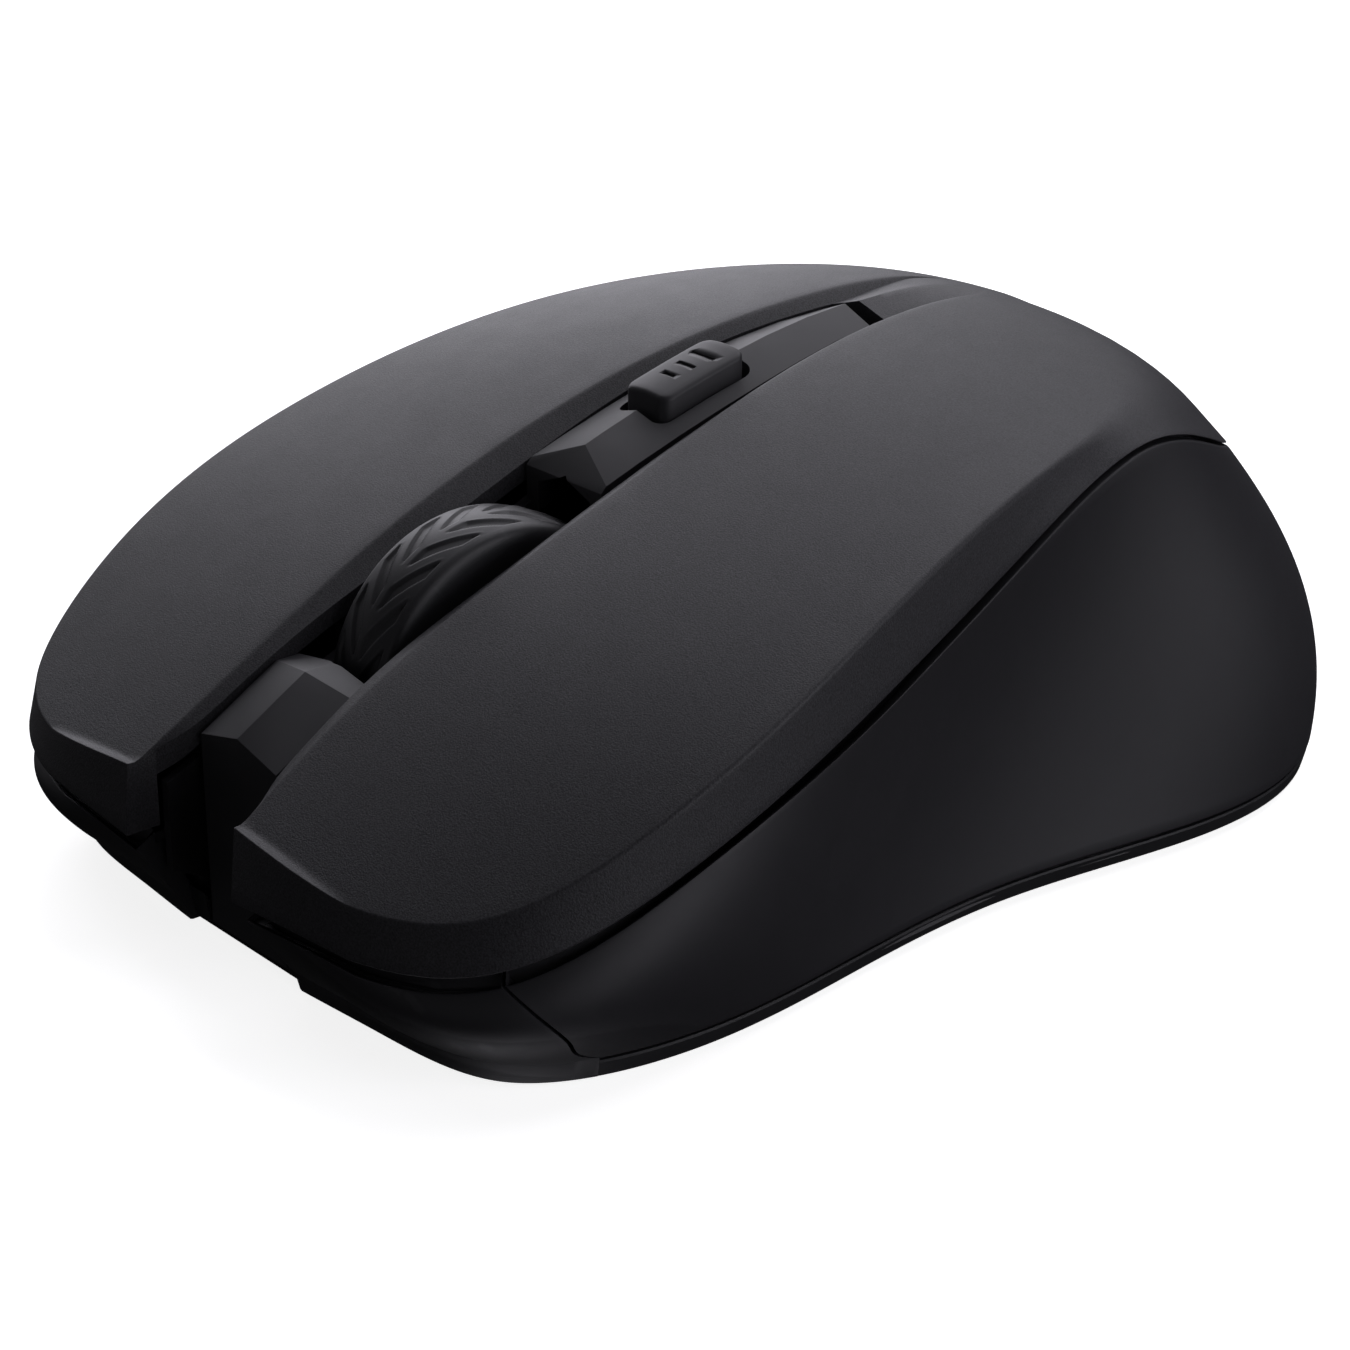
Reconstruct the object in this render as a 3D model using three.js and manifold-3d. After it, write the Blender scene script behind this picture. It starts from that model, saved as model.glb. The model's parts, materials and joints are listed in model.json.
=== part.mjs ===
// Compact wireless mouse, in millimetres. +Z is up and z = 0 is the plane that the skid feet rest on.
// The nose points along -Y, so the user's left hand side is +X. The origin is under the middle of the outline.
import * as THREE from "three";
import { mergeVertices } from "three/addons/utils/BufferGeometryUtils.js";
import Module from "manifold-3d";

const wasm = await Module();
wasm.setup();

// ---------- driving dimensions ----------
const GAP = 0.3; // clearance between neighbouring pieces
const WALL = 1.8; // moulded wall of the shells
const FOOT = 0.5; // thickness of a skid foot
const BASE_BOTTOM = FOOT + GAP;
const FLOOR_TOP = 2.4;
const SEAM_Z = 2.1; // where the side panels stand on the rim of the case
const RIM_TUCK = 0.8; // how far the underside edge of the case is drawn in
const AROUND = 54; // points round one ring

// One side of the outline, from the middle of the nose to the middle of the tail. x, y: lower edge of the cover;
// skirt: height of the cover's band; crease: how far the crease lies inside the edge; base: how far the foot of the
// side lies inside the edge; belly: how far the side swells between the two.
const STATIONS = [
  { x: 0, y: -51.5, skirt: 6.3, crease: 0.8, base: 4.4, belly: -0.5 },
  { x: 15.8, y: -51.2, skirt: 4.3, crease: 0.4, base: 5.0, belly: 0.6 },
  { x: 29.5, y: -46.2, skirt: 3.8, crease: 0.9, base: 3.4, belly: 1.8 },
  { x: 35.2, y: -33.7, skirt: 4.8, crease: 0.4, base: 2.7, belly: 1.4 },
  { x: 34.2, y: -13.2, skirt: 5.8, crease: 0.4, base: 2.4, belly: -0.4 },
  { x: 31.3, y: 2.9, skirt: 4.4, crease: 0.8, base: 0.3, belly: -1.0 },
  { x: 28.8, y: 18.9, skirt: 1.7, crease: 2.8, base: -4.4, belly: 0 },
  { x: 24.9, y: 31.9, skirt: 5.1, crease: 5.5, base: -7.8, belly: 2.5 },
  { x: 13.4, y: 42.0, skirt: 8.9, crease: 7.5, base: -9.3, belly: 2.7 },
  { x: 0, y: 44.0, skirt: 12.5, crease: 8.7, base: -8.2, belly: 2.0 },
];

// Height of the cover along the middle, and how much lower it is CROWN_AT to the side.
const SPINE_LINE = [
  [-50.2, 15.2],
  [-34.2, 24.4],
  [-17.2, 31.6],
  [0.8, 37.0],
  [15.8, 38.9],
  [30.8, 36.9],
  [41.8, 30.8],
];
const CROWN = [
  [-51.2, 4.2],
  [-34.2, 2.8],
  [-14.2, 2.4],
  [5.8, 3.6],
  [25.8, 5.9],
  [42.8, 8.9],
];
const CROWN_AT = 30;

// The channel between the buttons: half width at the top edge and at the foot of its sloping sides.
const CHANNEL = [
  [-60, 6.9],
  [-47, 6.6],
  [-19, 7.0],
  [6, 5.3],
  [15.3, 4.4],
];
const CHANNEL_DEPTH = 1.3;
const OPENING_END = 15.2;
const SLOT_CLEARANCE = 0.45;

const FLEX_Y = 13.0; // the line that the button plates bend about
const NOSE_LIP = { halfWidth: 7.0, rear: -48.8 }; // the buttons' deep inner corners at the nose

const SPINE = { front: -45.8, blockEnd: -37.0, stripFront: -15.6, stripEnd: 13.6, drop: 1.2, skin: 1.4, roofZ: 21.4 };
const SPINE_HALF = [
  [-50, 4.9],
  [-13, 4.5],
  [1, 4.2],
  [14, 2.9],
];

const WHEEL = { y: -23.3, z: 17.0, radius: 12.7, halfWidth: 3.5, hubRadius: 10.2 };
const BOARD = { bottom: 5.6, top: 6.8, front: -41.2, rear: 11.6, halfWidth: 26 };
const CELL = { y: 28.4, z: 10.4, radius: 7.1, halfLength: 25.25 };
const DOOR = { front: 12.6, halfWidth: 25.6 };
const RECEIVER = { y: 16.6, z: 10.2 };
const SENSOR = { y: 5.0, windowHalf: 3.2 };
const DPI = { front: -7.6, rear: 0.8, halfWidth: 2.5, rise: 1.2, switchY: -3.6 };
const SWITCH = { x: 14, front: -40.8, rear: -28.0, halfWidth: 2.9, height: 6.4, plungerY: -38.5, plungerRise: 0.9 };
const KNOB = { x: 21, y: -14 };

const PRESS = { click: 0.42, wheel: 0.4, dpi: 0.3 }; // free space above each plunger

// ---------- finishes ----------
const COLOURS = {
  grainedShell: [0x2b2b2e, 0.62, 0],
  smoothShell: [0x232326, 0.5, 0],
  darkPlastic: [0x19191b, 0.5, 0],
  rubber: [0x1c1c1e, 0.42, 0],
  board: [0x1f5a34, 0.5, 0],
  steel: [0xb4b7ba, 0.3, 1],
  gold: [0xc9a45a, 0.35, 1],
  blackPlastic: [0x121213, 0.45, 0],
  whitePlastic: [0xd8d8d2, 0.5, 0],
  redPlastic: [0xb3261e, 0.5, 0],
  clear: [0xdfe8ee, 0.08, 0],
  cellSleeve: [0x3a3d40, 0.35, 0.2],
  glide: [0x0e0e0f, 0.3, 0],
  label: [0xc9cbcd, 0.6, 0],
};

const mouse = new THREE.Group();

// Adds one solid to the mouse as a named mesh.
function piece(name, made, finish) {
  const [color, roughness, metalness] = COLOURS[finish];
  const material = new THREE.MeshStandardMaterial({ color, roughness, metalness });
  const mesh = new THREE.Mesh(geometryOf(made), material);
  mesh.name = name;
  mouse.add(mesh);
  return mesh;
}

// ---------- solids ----------
function solid(geometry) {
  const bare = geometry.clone();
  bare.deleteAttribute("normal");
  bare.deleteAttribute("uv");
  const merged = mergeVertices(bare, 1e-4);
  const triVerts = new Uint32Array(merged.index.array);
  const vertProperties = new Float32Array(merged.attributes.position.array);
  return new wasm.Manifold(new wasm.Mesh({ numProp: 3, vertProperties, triVerts }));
}

function geometryOf(made) {
  const mesh = made.getMesh();
  const positions = new THREE.BufferAttribute(new Float32Array(mesh.vertProperties), 3);
  const geometry = new THREE.BufferGeometry().setAttribute("position", positions);
  geometry.setIndex(new THREE.BufferAttribute(new Uint32Array(mesh.triVerts), 1));
  geometry.computeVertexNormals();
  return geometry;
}

// A box given by its low and high corner.
function box(low, high) {
  const size = high.map((value, axis) => value - low[axis]);
  const geometry = new THREE.BoxGeometry(...size);
  geometry.translate(...low.map((value, axis) => value + size[axis] / 2));
  return solid(geometry);
}

// A round bar along "x", "y" or "z", from one end to the other, through (a, b) in the other two axes.
function bar(axis, radius, from, to, a, b, sides = 24) {
  const geometry = new THREE.CylinderGeometry(radius, radius, to - from, sides);
  const middle = (from + to) / 2;
  if (axis === "x") geometry.rotateZ(Math.PI / 2).translate(middle, a, b);
  if (axis === "y") geometry.translate(a, middle, b);
  if (axis === "z") geometry.rotateX(Math.PI / 2).translate(a, b, middle);
  return solid(geometry);
}

// A plan outline pulled up from one height to another.
function slab(shape, from, to) {
  const geometry = new THREE.ExtrudeGeometry(shape, { depth: to - from, bevelEnabled: false, curveSegments: 4 });
  return solid(geometry.translate(0, 0, from));
}

// A rectangle in plan with rounded corners.
function roundedPlan(left, front, right, rear, radius) {
  const shape = new THREE.Shape();
  shape.moveTo(left + radius, front);
  shape.lineTo(right - radius, front);
  shape.absarc(right - radius, front + radius, radius, -Math.PI / 2, 0);
  shape.lineTo(right, rear - radius);
  shape.absarc(right - radius, rear - radius, radius, 0, Math.PI / 2);
  shape.lineTo(left + radius, rear);
  shape.absarc(left + radius, rear - radius, radius, Math.PI / 2, Math.PI);
  shape.lineTo(left, front + radius);
  shape.absarc(left + radius, front + radius, radius, Math.PI, Math.PI * 1.5);
  return shape;
}

// A side view outline of [y, z] points, spread across from one x to another.
function sideView(points, from, to) {
  const shape = new THREE.Shape(points.map(([y, z]) => new THREE.Vector2(y, z)));
  const geometry = new THREE.ExtrudeGeometry(shape, { depth: to - from, bevelEnabled: false });
  const swap = new THREE.Matrix4().set(0, 0, 1, from, 1, 0, 0, 0, 0, 1, 0, 0, 0, 0, 0, 1);
  return solid(geometry.applyMatrix4(swap));
}

// Skin over a stack of rings with equal numbers of points. Both end rings must close on themselves as a line.
function loft(rings) {
  const count = rings[0].length;
  const positions = rings.flat().flatMap((p) => [p.x, p.y, p.z]);
  const index = [];
  for (let level = 0; level < rings.length - 1; level++) {
    for (let i = 0; i < count; i++) {
      const a = level * count + i;
      const b = level * count + ((i + 1) % count);
      index.push(a, b, b + count, a, b + count, a + count);
    }
  }
  const geometry = new THREE.BufferGeometry();
  geometry.setAttribute("position", new THREE.Float32BufferAttribute(positions, 3));
  geometry.setIndex(index);
  return solid(geometry);
}

// The line down the middle that closes a ring: each point's partner on x = 0.
const onMiddle = (ring, dz = 0, keep = 0.8) => ring.map((p) => new THREE.Vector3(0, p.y * keep, p.z + dz));

const mirrored = (made) => made.mirror([1, 0, 0]);
const cut = (made, ...tools) => tools.reduce((left, tool) => left.subtract(tool), made);
const join = (...made) => made.reduce((whole, next) => whole.add(next));

// A smooth curve through [position, value] pairs, read at a position.
function profile(pairs) {
  const curve = new THREE.SplineCurve(pairs.map(([at, value]) => new THREE.Vector2(at, value)));
  const last = pairs.length - 1;
  return (at) => {
    const held = THREE.MathUtils.clamp(at, pairs[0][0], pairs[last][0]);
    let low = 0;
    let high = 1;
    for (let step = 0; step < 40; step++) {
      const middle = (low + high) / 2;
      if (curve.getPoint(middle).x < held) low = middle;
      else high = middle;
    }
    return curve.getPoint(low).y;
  };
}

const spineLine = profile(SPINE_LINE);
const crown = profile(CROWN);
const channelHalf = profile(CHANNEL);
const spineHalf = profile(SPINE_HALF);
const topHeight = (x, y) => spineLine(y) - crown(y) * (x / CROWN_AT) ** 2;

// ---------- rings of the outline ----------
const both = [...STATIONS, ...STATIONS.slice(1, -1).reverse().map((s) => ({ ...s, x: -s.x }))];
const plan = new THREE.CatmullRomCurve3(both.map((s) => new THREE.Vector3(s.x, s.y, 0)), true);
const along = (key) => {
  const curve = new THREE.CatmullRomCurve3(both.map((s) => new THREE.Vector3(s[key], 0, 0)), true);
  return (t) => curve.getPoint(t).x;
};
const skirt = along("skirt");
const creaseInset = along("crease");
const baseInset = along("base");
const belly = along("belly");

// Where the outline's edge is drawn in by inset(t) at each point, at the height that heightOf gives.
function ring(inset, heightOf) {
  return Array.from({ length: AROUND }, (_, i) => {
    const t = i / AROUND;
    const p = plan.getPoint(t);
    const tangent = plan.getTangent(t);
    const x = p.x - tangent.y * inset(t);
    const y = p.y + tangent.x * inset(t);
    return new THREE.Vector3(x, y, heightOf(x, y, t));
  });
}

const creaseRing = (extra = 0, dz = 0) => ring((t) => creaseInset(t) + extra, (x, y) => topHeight(x, y) + dz);
const edgeHeights = creaseRing().map((p, i) => p.z - skirt(i / AROUND));
const edgeRing = (extra = 0, dz = 0) =>
  ring(() => extra, (x, y, t) => edgeHeights[Math.round(t * AROUND) % AROUND] + dz);

// Opening under the cover's edge: wide at the nose, where the buttons travel, and narrow behind.
const edgeGap = (y) => THREE.MathUtils.mapLinear(THREE.MathUtils.clamp(y, -51, 14), -51, 14, 1.25, 0.4);

// The side between the foot (share 0) and the cover's edge (share 1).
function sideRing(share, extra = 0, dz = 0) {
  const inset = (t) => baseInset(t) * (1 - share) - belly(t) * 4 * share * (1 - share) + extra;
  const height = (x, y, t) => {
    const top = edgeHeights[Math.round(t * AROUND) % AROUND] - edgeGap(plan.getPoint(t).y);
    return SEAM_Z + (top - SEAM_Z) * share + dz;
  };
  return ring(inset, height);
}

// ---------- shells ----------
function coverBlock(inset, lower, below) {
  const edge = edgeRing(inset, below);
  const crease = creaseRing(inset, -lower);
  const rings = [onMiddle(edge), edge];
  if (below) rings.push(edgeRing(inset));
  rings.push(crease);
  for (const share of [0.75, 0.5, 0.25, 0]) {
    rings.push(
      crease.map((p) => {
        const x = p.x * share;
        const y = p.y * (0.8 + 0.2 * share);
        return new THREE.Vector3(x, y, topHeight(x, y) - lower);
      }),
    );
  }
  return loft(rings);
}

function sideBlock(inset, from, rise) {
  const foot = sideRing(0, inset).map((p) => p.clone().setZ(from));
  const rings = [onMiddle(foot), foot];
  if (from === BASE_BOTTOM) {
    const tucked = sideRing(0, inset + RIM_TUCK).map((p) => p.clone().setZ(from));
    rings.splice(0, 2, onMiddle(tucked), tucked, sideRing(0, inset));
  } else rings.push(sideRing(0, inset));
  for (const share of [0.2, 0.4, 0.6, 0.8, 1]) rings.push(sideRing(share, inset));
  if (rise) rings.push(sideRing(1, inset, rise));
  rings.push(onMiddle(rings[rings.length - 1]));
  return loft(rings);
}

// A block along the channel: at each y a section whose half width and height are given by the two tables of levels.
function channelBlock(from, to, sections, steps = 14) {
  const count = sections(from).length;
  const positions = [];
  for (let i = 0; i <= steps; i++) {
    const y = from + ((to - from) * i) / steps;
    for (const [x, z] of sections(y)) positions.push(x, y, z);
  }
  const index = [];
  for (let i = 0; i < steps; i++) {
    for (let j = 0; j < count; j++) {
      const a = i * count + j;
      const b = i * count + ((j + 1) % count);
      index.push(a, b + count, b, a, a + count, b + count);
    }
  }
  const outline = sections(from).map(([x, z]) => new THREE.Vector2(x, z));
  for (const [a, b, c] of THREE.ShapeUtils.triangulateShape(outline, [])) {
    index.push(a, b, c);
    index.push(steps * count + a, steps * count + c, steps * count + b);
  }
  const geometry = new THREE.BufferGeometry();
  geometry.setAttribute("position", new THREE.Float32BufferAttribute(positions, 3));
  geometry.setIndex(index);
  return solid(geometry);
}

// Everything that is cut out of the cover between the two buttons.
function channelTool() {
  const walls = (y) => {
    const foot = spineHalf(y) + SLOT_CLEARANCE;
    const edge = Math.max(channelHalf(y), foot + 0.2);
    const top = topHeight(edge, y);
    return [
      [-foot, -5],
      [foot, -5],
      [foot, top - CHANNEL_DEPTH],
      [edge, top],
      [edge + 2, top + 3],
      [-edge - 2, top + 3],
      [-edge, top],
      [-foot, top - CHANNEL_DEPTH],
    ];
  };
  const nose = box([-NOSE_LIP.halfWidth, -60, -5], [NOSE_LIP.halfWidth, NOSE_LIP.rear, 40]);
  return join(channelBlock(-49, OPENING_END, walls), nose);
}

const cover = cut(coverBlock(0, 0, 0), coverBlock(WALL, WALL, -20), channelTool());

const frontHalf = box([-60, -80, -5], [60, FLEX_Y - GAP / 2, 60]);
const rearHalf = box([-60, FLEX_Y + GAP / 2, -5], [60, 80, 60]);

// The post under a button that presses its switch.
function plungerRib() {
  const { x, plungerY: y } = SWITCH;
  const webReach = 3;
  const top = topHeight(x, y - webReach) - WALL / 2;
  const bottom = BOARD.top + SWITCH.height + SWITCH.plungerRise + PRESS.click;
  return join(
    box([x - 1.2, y - 1.2, bottom], [x + 1.2, y + 1.2, top]),
    box([x - 0.4, y - webReach, bottom + 1.2], [x + 0.4, y + webReach, top]),
  );
}

// The return at the nose corner of a button, behind its vertical edge.
function noseReturn() {
  const x = NOSE_LIP.halfWidth;
  const low = edgeHeights[3];
  const lip = box([x, -53, low], [x + 1.2, NOSE_LIP.rear, 40]);
  return lip.intersect(coverBlock(0.05, 0.05, 0));
}

function leftButton() {
  const half = box([0, -80, -5], [60, 80, 60]);
  const plate = cover.intersect(frontHalf).intersect(half);
  return join(plate, noseReturn(), plungerRib());
}

const BOSS = { x: 23, y: 9.4, radius: 2.2, shelf: 24 };

// The palm carries two screw bosses on brackets that reach forward under the button plates.
function palmBracket() {
  const { x, y, radius, shelf } = BOSS;
  const post = bar("z", radius, FLOOR_TOP + GAP, shelf + 2.4, x, y, 16);
  const arm = box([x - 2, y, shelf], [x + 2, 16, shelf + 2.4]);
  const web = box([x - 0.8, FLEX_Y + 0.4, shelf], [x + 0.8, 16, topHeight(x, 16) - 1]);
  return cut(join(post, arm, web), bar("z", 1.3, 0, 14, x, y, 12));
}

function palmCover() {
  const bracket = palmBracket();
  return join(cover.intersect(rearHalf), bracket, mirrored(bracket));
}

// Side view of the area that a side panel fills: behind the curved seam at the nose, above the rim.
function panelArea(shrink) {
  const low = SEAM_Z + shrink;
  const seam = [
    [-37.2, low],
    [-39.4, 3.0 + shrink],
    [-41.2, 4.8 + shrink],
    [-42.8, 6.9 + shrink],
    [-44.4, 9.4],
    [-45.6, 12],
  ];
  const moved = seam.map(([y, z]) => [y + shrink, z]);
  return [...moved, [-45.6 + shrink, 50], [60, 50], [60, low]];
}

const TAIL_HALF = 9; // half width of the case's wall between the two side panels
const sideWall = cut(sideBlock(0, BASE_BOTTOM, 0), sideBlock(WALL, -1, 10));

function leftPanel() {
  return sideWall.intersect(sideView(panelArea(GAP / 2), TAIL_HALF + GAP / 2, 60));
}

function doorArea(clearance, top) {
  return box([-DOOR.halfWidth - clearance, DOOR.front - clearance, 0], [DOOR.halfWidth + clearance, 80, top]);
}

const basePlan = (inset, from, to) => {
  const low = sideRing(0, inset).map((p) => p.clone().setZ(from));
  const high = low.map((p) => p.clone().setZ(to));
  return loft([onMiddle(low), low, high, onMiddle(high)]);
};

const CASE_SCREWS = [
  [8.6, -43.6],
  [-8.6, -43.6],
  [BOSS.x, BOSS.y],
  [-BOSS.x, BOSS.y],
];
const BOARD_SCREWS = [
  [21.5, 1.5],
  [-21.5, 1.5],
];
const SCREW = { headRadius: 2, headTop: 2.2, shank: 1, length: 9 };

function bottomCase() {
  const sides = [sideView(panelArea(-GAP / 2), TAIL_HALF - GAP / 2, 60)];
  const walls = cut(sideWall, ...sides, ...sides.map(mirrored));
  const floor = basePlan(WALL + GAP, BASE_BOTTOM, FLOOR_TOP);
  const rim = basePlan(0.4, BASE_BOTTOM + 0.1, SEAM_Z - GAP / 2);
  const noseWalls = [1, -1].map((side) => {
    const x = side > 0 ? NOSE_LIP.halfWidth + 0.4 : -NOSE_LIP.halfWidth - 1.6;
    return box([x, -60, BASE_BOTTOM], [x + 1.2, -46.4, 8.2]).intersect(sideBlock(0.05, BASE_BOTTOM, 0));
  });
  const standoffs = BOARD_SCREWS.map(([x, y]) => bar("z", 2.4, FLOOR_TOP - 0.2, BOARD.bottom - GAP, x, y, 16));
  const lip = cut(basePlan(WALL + 1.1, FLOOR_TOP - 0.2, 4.6), basePlan(WALL + 2.3, 0, 9));
  const rearLip = lip.intersect(box([-60, -28, 0], [60, 60, 9]));
  const tailFoot = box([-TAIL_HALF + GAP, 44, FLOOR_TOP - 0.2], [TAIL_HALF - GAP, 60, 4.6]);
  const cradles = [1, -1].map((side) => {
    const x = side > 0 ? 27.3 : -28.6;
    return box([x, CELL.y - 6, FLOOR_TOP - 0.4], [x + 1.3, CELL.y + 6, 12.6]);
  });
  const tail = tailFoot.intersect(sideBlock(0.05, BASE_BOTTOM, 0));
  const openings = [
    doorArea(GAP, FLOOR_TOP),
    slab(roundedPlan(-SENSOR.windowHalf, SENSOR.y - 4.2, SENSOR.windowHalf, SENSOR.y + 4.2, 1.4), 0, 4),
    box([KNOB.x - 4, KNOB.y - 1.6, 0], [KNOB.x + 4, KNOB.y + 1.6, 4]),
    slab(roundedPlan(-15.3, -30.3, 15.3, -13.7, 1), 0, BASE_BOTTOM + 0.5),
    box([-NOSE_LIP.halfWidth - 0.4, -60, 0], [NOSE_LIP.halfWidth + 0.4, -46.2, 12]),
    box([-5.2, -60, 0], [5.2, SPINE.front + SPINE.skin + GAP, 12]),
    ...BOARD_SCREWS.map(([x, y]) => bar("z", 1.25, 3, 10, x, y, 12)),
    ...CASE_SCREWS.map(([x, y]) => bar("z", 1.35, 0, 10, x, y, 12)),
    ...CASE_SCREWS.map(([x, y]) => bar("z", SCREW.headRadius + GAP, 0, SCREW.headTop - 0.6, x, y, 16)),
  ];
  return cut(join(walls, floor, rim, ...noseWalls, ...standoffs, ...cradles, rearLip, tail), ...openings);
}

function batteryDoor() {
  const plate = basePlan(0.5, BASE_BOTTOM + 0.1, FLOOR_TOP - GAP).intersect(doorArea(0, 9));
  const grip = [0, 1, 2, 3].map((i) => box([-8, 40 + i * 1.6, 0], [8, 40.8 + i * 1.6, BASE_BOTTOM + 0.4]));
  return cut(plate, ...grip);
}

// ---------- spine, nose frame and the button on the spine ----------
function gable(from, to, top, bottom, narrow = 0) {
  return channelBlock(from, to, (y) => {
    const half = spineHalf(y) - narrow;
    const ridge = topHeight(0, y) - top;
    const low = Math.min(bottom(y), ridge - SPINE.drop - 0.3);
    return [
      [-half, low],
      [half, low],
      [half, ridge - SPINE.drop],
      [0, ridge],
      [-half, ridge - SPINE.drop],
    ];
  });
}

function centreSpine() {
  const skirtDepth = 5;
  const deep = (y) => topHeight(0, y) - skirtDepth;
  const body = gable(SPINE.front, SPINE.stripEnd, 0, deep);
  const hollow = gable(SPINE.front + SPINE.skin, SPINE.stripEnd - SPINE.skin, SPINE.skin, () => -9, SPINE.skin);
  const face = box([-4.9, SPINE.front, 1.2], [4.9, SPINE.front + SPINE.skin, 16.5]);
  const wheelSlot = [
    [SPINE.blockEnd, -9],
    [SPINE.blockEnd, 34],
    [SPINE.stripFront, 45],
    [SPINE.stripFront + 3.2, 34],
    [SPINE.stripFront, 30.6],
    [SPINE.stripFront, -9],
  ];
  // The block ends in a level roof behind its rising ridge.
  const roof = channelBlock(SPINE.blockEnd - 8, SPINE.blockEnd + 1, () => [
    [-6, SPINE.roofZ - 1.0],
    [0, SPINE.roofZ],
    [6, SPINE.roofZ - 1.0],
    [6, 40],
    [-6, 40],
  ]);
  const rails = [1, -1].map((side) => {
    const x = side > 0 ? WHEEL.halfWidth + 0.4 : -WHEEL.halfWidth - 1.4;
    const line = [SPINE.blockEnd - 1, SPINE.stripFront + 1].map((y) => [y, topHeight(0, y) - 4.2]);
    const under = [...line].reverse().map(([y, z]) => [y, z - 1.6]);
    return sideView([...line.reverse(), ...under.reverse()], x, x + 1);
  });
  const slot = slab(roundedPlan(-DPI.halfWidth - 0.3, DPI.front - 0.7, DPI.halfWidth + 0.3, DPI.rear + 0.7, 1.2), 10, 60);
  const shell = cut(join(cut(body, hollow), face), sideView(wheelSlot, -9, 9), slot, roof);
  return join(shell, ...rails);
}

function noseFrame() {
  const wings = [1, -1].map((side) => {
    const x = side > 0 ? 5.9 : -6.7;
    const outline = [
      [-48.3, 5.9],
      [-43.2, 3.2],
      [-42.8, 3.2],
      [-42.8, 14.4],
      [-45.2, 14.4],
      [-48.3, 13.0],
    ];
    return sideView(outline, x, x + 0.8);
  });
  const cross = box([-8, -44.2, 3.1], [8, -42.7, 7.1]);
  const posts = CASE_SCREWS.slice(0, 2).map(([x, y]) => bar("z", 2.02, FLOOR_TOP + GAP, 10, x, y, 16));
  const bores = CASE_SCREWS.slice(0, 2).map(([x, y]) => bar("z", 1.3, 0, 20, x, y, 12));
  return cut(join(...wings, cross, ...posts), ...bores);
}

function dpiButton() {
  const cap = slab(roundedPlan(-DPI.halfWidth, DPI.front, DPI.halfWidth, DPI.rear, 1.0), 29.6, 50);
  const under = channelBlock(DPI.front - 1, DPI.rear + 1, (y) => {
    const top = topHeight(0, y) + DPI.rise;
    return [
      [-4, 20],
      [4, 20],
      [4, top - 1.2],
      [2, top - 0.3],
      [0, top],
      [-2, top - 0.3],
      [-4, top - 1.2],
    ];
  });
  const stem = box([-1, DPI.switchY - 1, BOARD.top + 4.6 + PRESS.dpi], [1, DPI.switchY + 1, 31]);
  return join(cap.intersect(under), stem);
}

// ---------- wheel ----------
function wheelTyre() {
  const { radius, halfWidth, hubRadius } = WHEEL;
  const inner = hubRadius + GAP;
  const outline = [
    [inner, -halfWidth + 0.3],
    [radius - 1.2, -halfWidth],
    [radius - 0.4, -halfWidth + 0.8],
    [radius, -1],
    [radius, 1],
    [radius - 0.4, halfWidth - 0.8],
    [radius - 1.2, halfWidth],
    [inner, halfWidth - 0.3],
    [inner, -halfWidth + 0.3],
  ];
  return turned(outline, 48);
}

// A body of revolution about the wheel's axle, from [radius, x] points.
function turned(outline, sides) {
  const geometry = new THREE.LatheGeometry(outline.map(([r, x]) => new THREE.Vector2(r, x)), sides);
  geometry.rotateZ(-Math.PI / 2).translate(0, WHEEL.y, WHEEL.z);
  return solid(geometry);
}

const AXLE = { radius: 1.2, from: -10.2, to: 7.4 };

function wheelHub() {
  const { hubRadius } = WHEEL;
  const outline = [
    [AXLE.radius + GAP, -2.9],
    [3, -2.9],
    [3.4, -1.2],
    [hubRadius - 1.6, -1.2],
    [hubRadius - 1.4, -3],
    [hubRadius, -3],
    [hubRadius, 3],
    [hubRadius - 1.4, 3],
    [hubRadius - 1.6, 1.2],
    [3.4, 1.2],
    [3, 2.9],
    [AXLE.radius + GAP, 2.9],
    [AXLE.radius + GAP, -2.9],
  ];
  return turned(outline, 36);
}

function wheelCarrier() {
  const arms = [5.1, -6.3].map((x) => box([x, WHEEL.y - 2.6, 11], [x + 1.2, WHEEL.y + 2.6, WHEEL.z + 2.6]));
  const legs = [5.1, -6.3].map((x) => box([x, -40.6, 10.4], [x + 1.2, WHEEL.y + 2.6, 12.4]));
  const cross = box([-6.3, -40.6, 10.4], [6.3, -39.0, 12.4]);
  const seat = bar("z", 1.6, 9.4, 10.6, 0, -39.8, 16);
  const peg = box([5.1, WHEEL.y - 1, BOARD.top + 4.6 + PRESS.wheel], [9.4, WHEEL.y + 1, 12.4]);
  const bores = bar("x", AXLE.radius + 0.3, -9, 9, WHEEL.y, WHEEL.z, 20);
  return cut(join(...arms, ...legs, cross, seat, peg), bores);
}

function scrollEncoder() {
  const body = box([-13.4, WHEEL.y - 4.6, BOARD.top + GAP], [-7.2, WHEEL.y + 4.6, WHEEL.z + 3.2]);
  const mouth = join(
    bar("x", 3.0, -12.2, -6, WHEEL.y, WHEEL.z, 20),
    box([-12.2, WHEEL.y - 3, WHEEL.z - 1], [-6, WHEEL.y + 3, 30]),
    bar("x", 3.0, -12.2, -6, WHEEL.y, WHEEL.z - 0.8, 20),
  );
  return cut(body, mouth);
}

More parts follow.
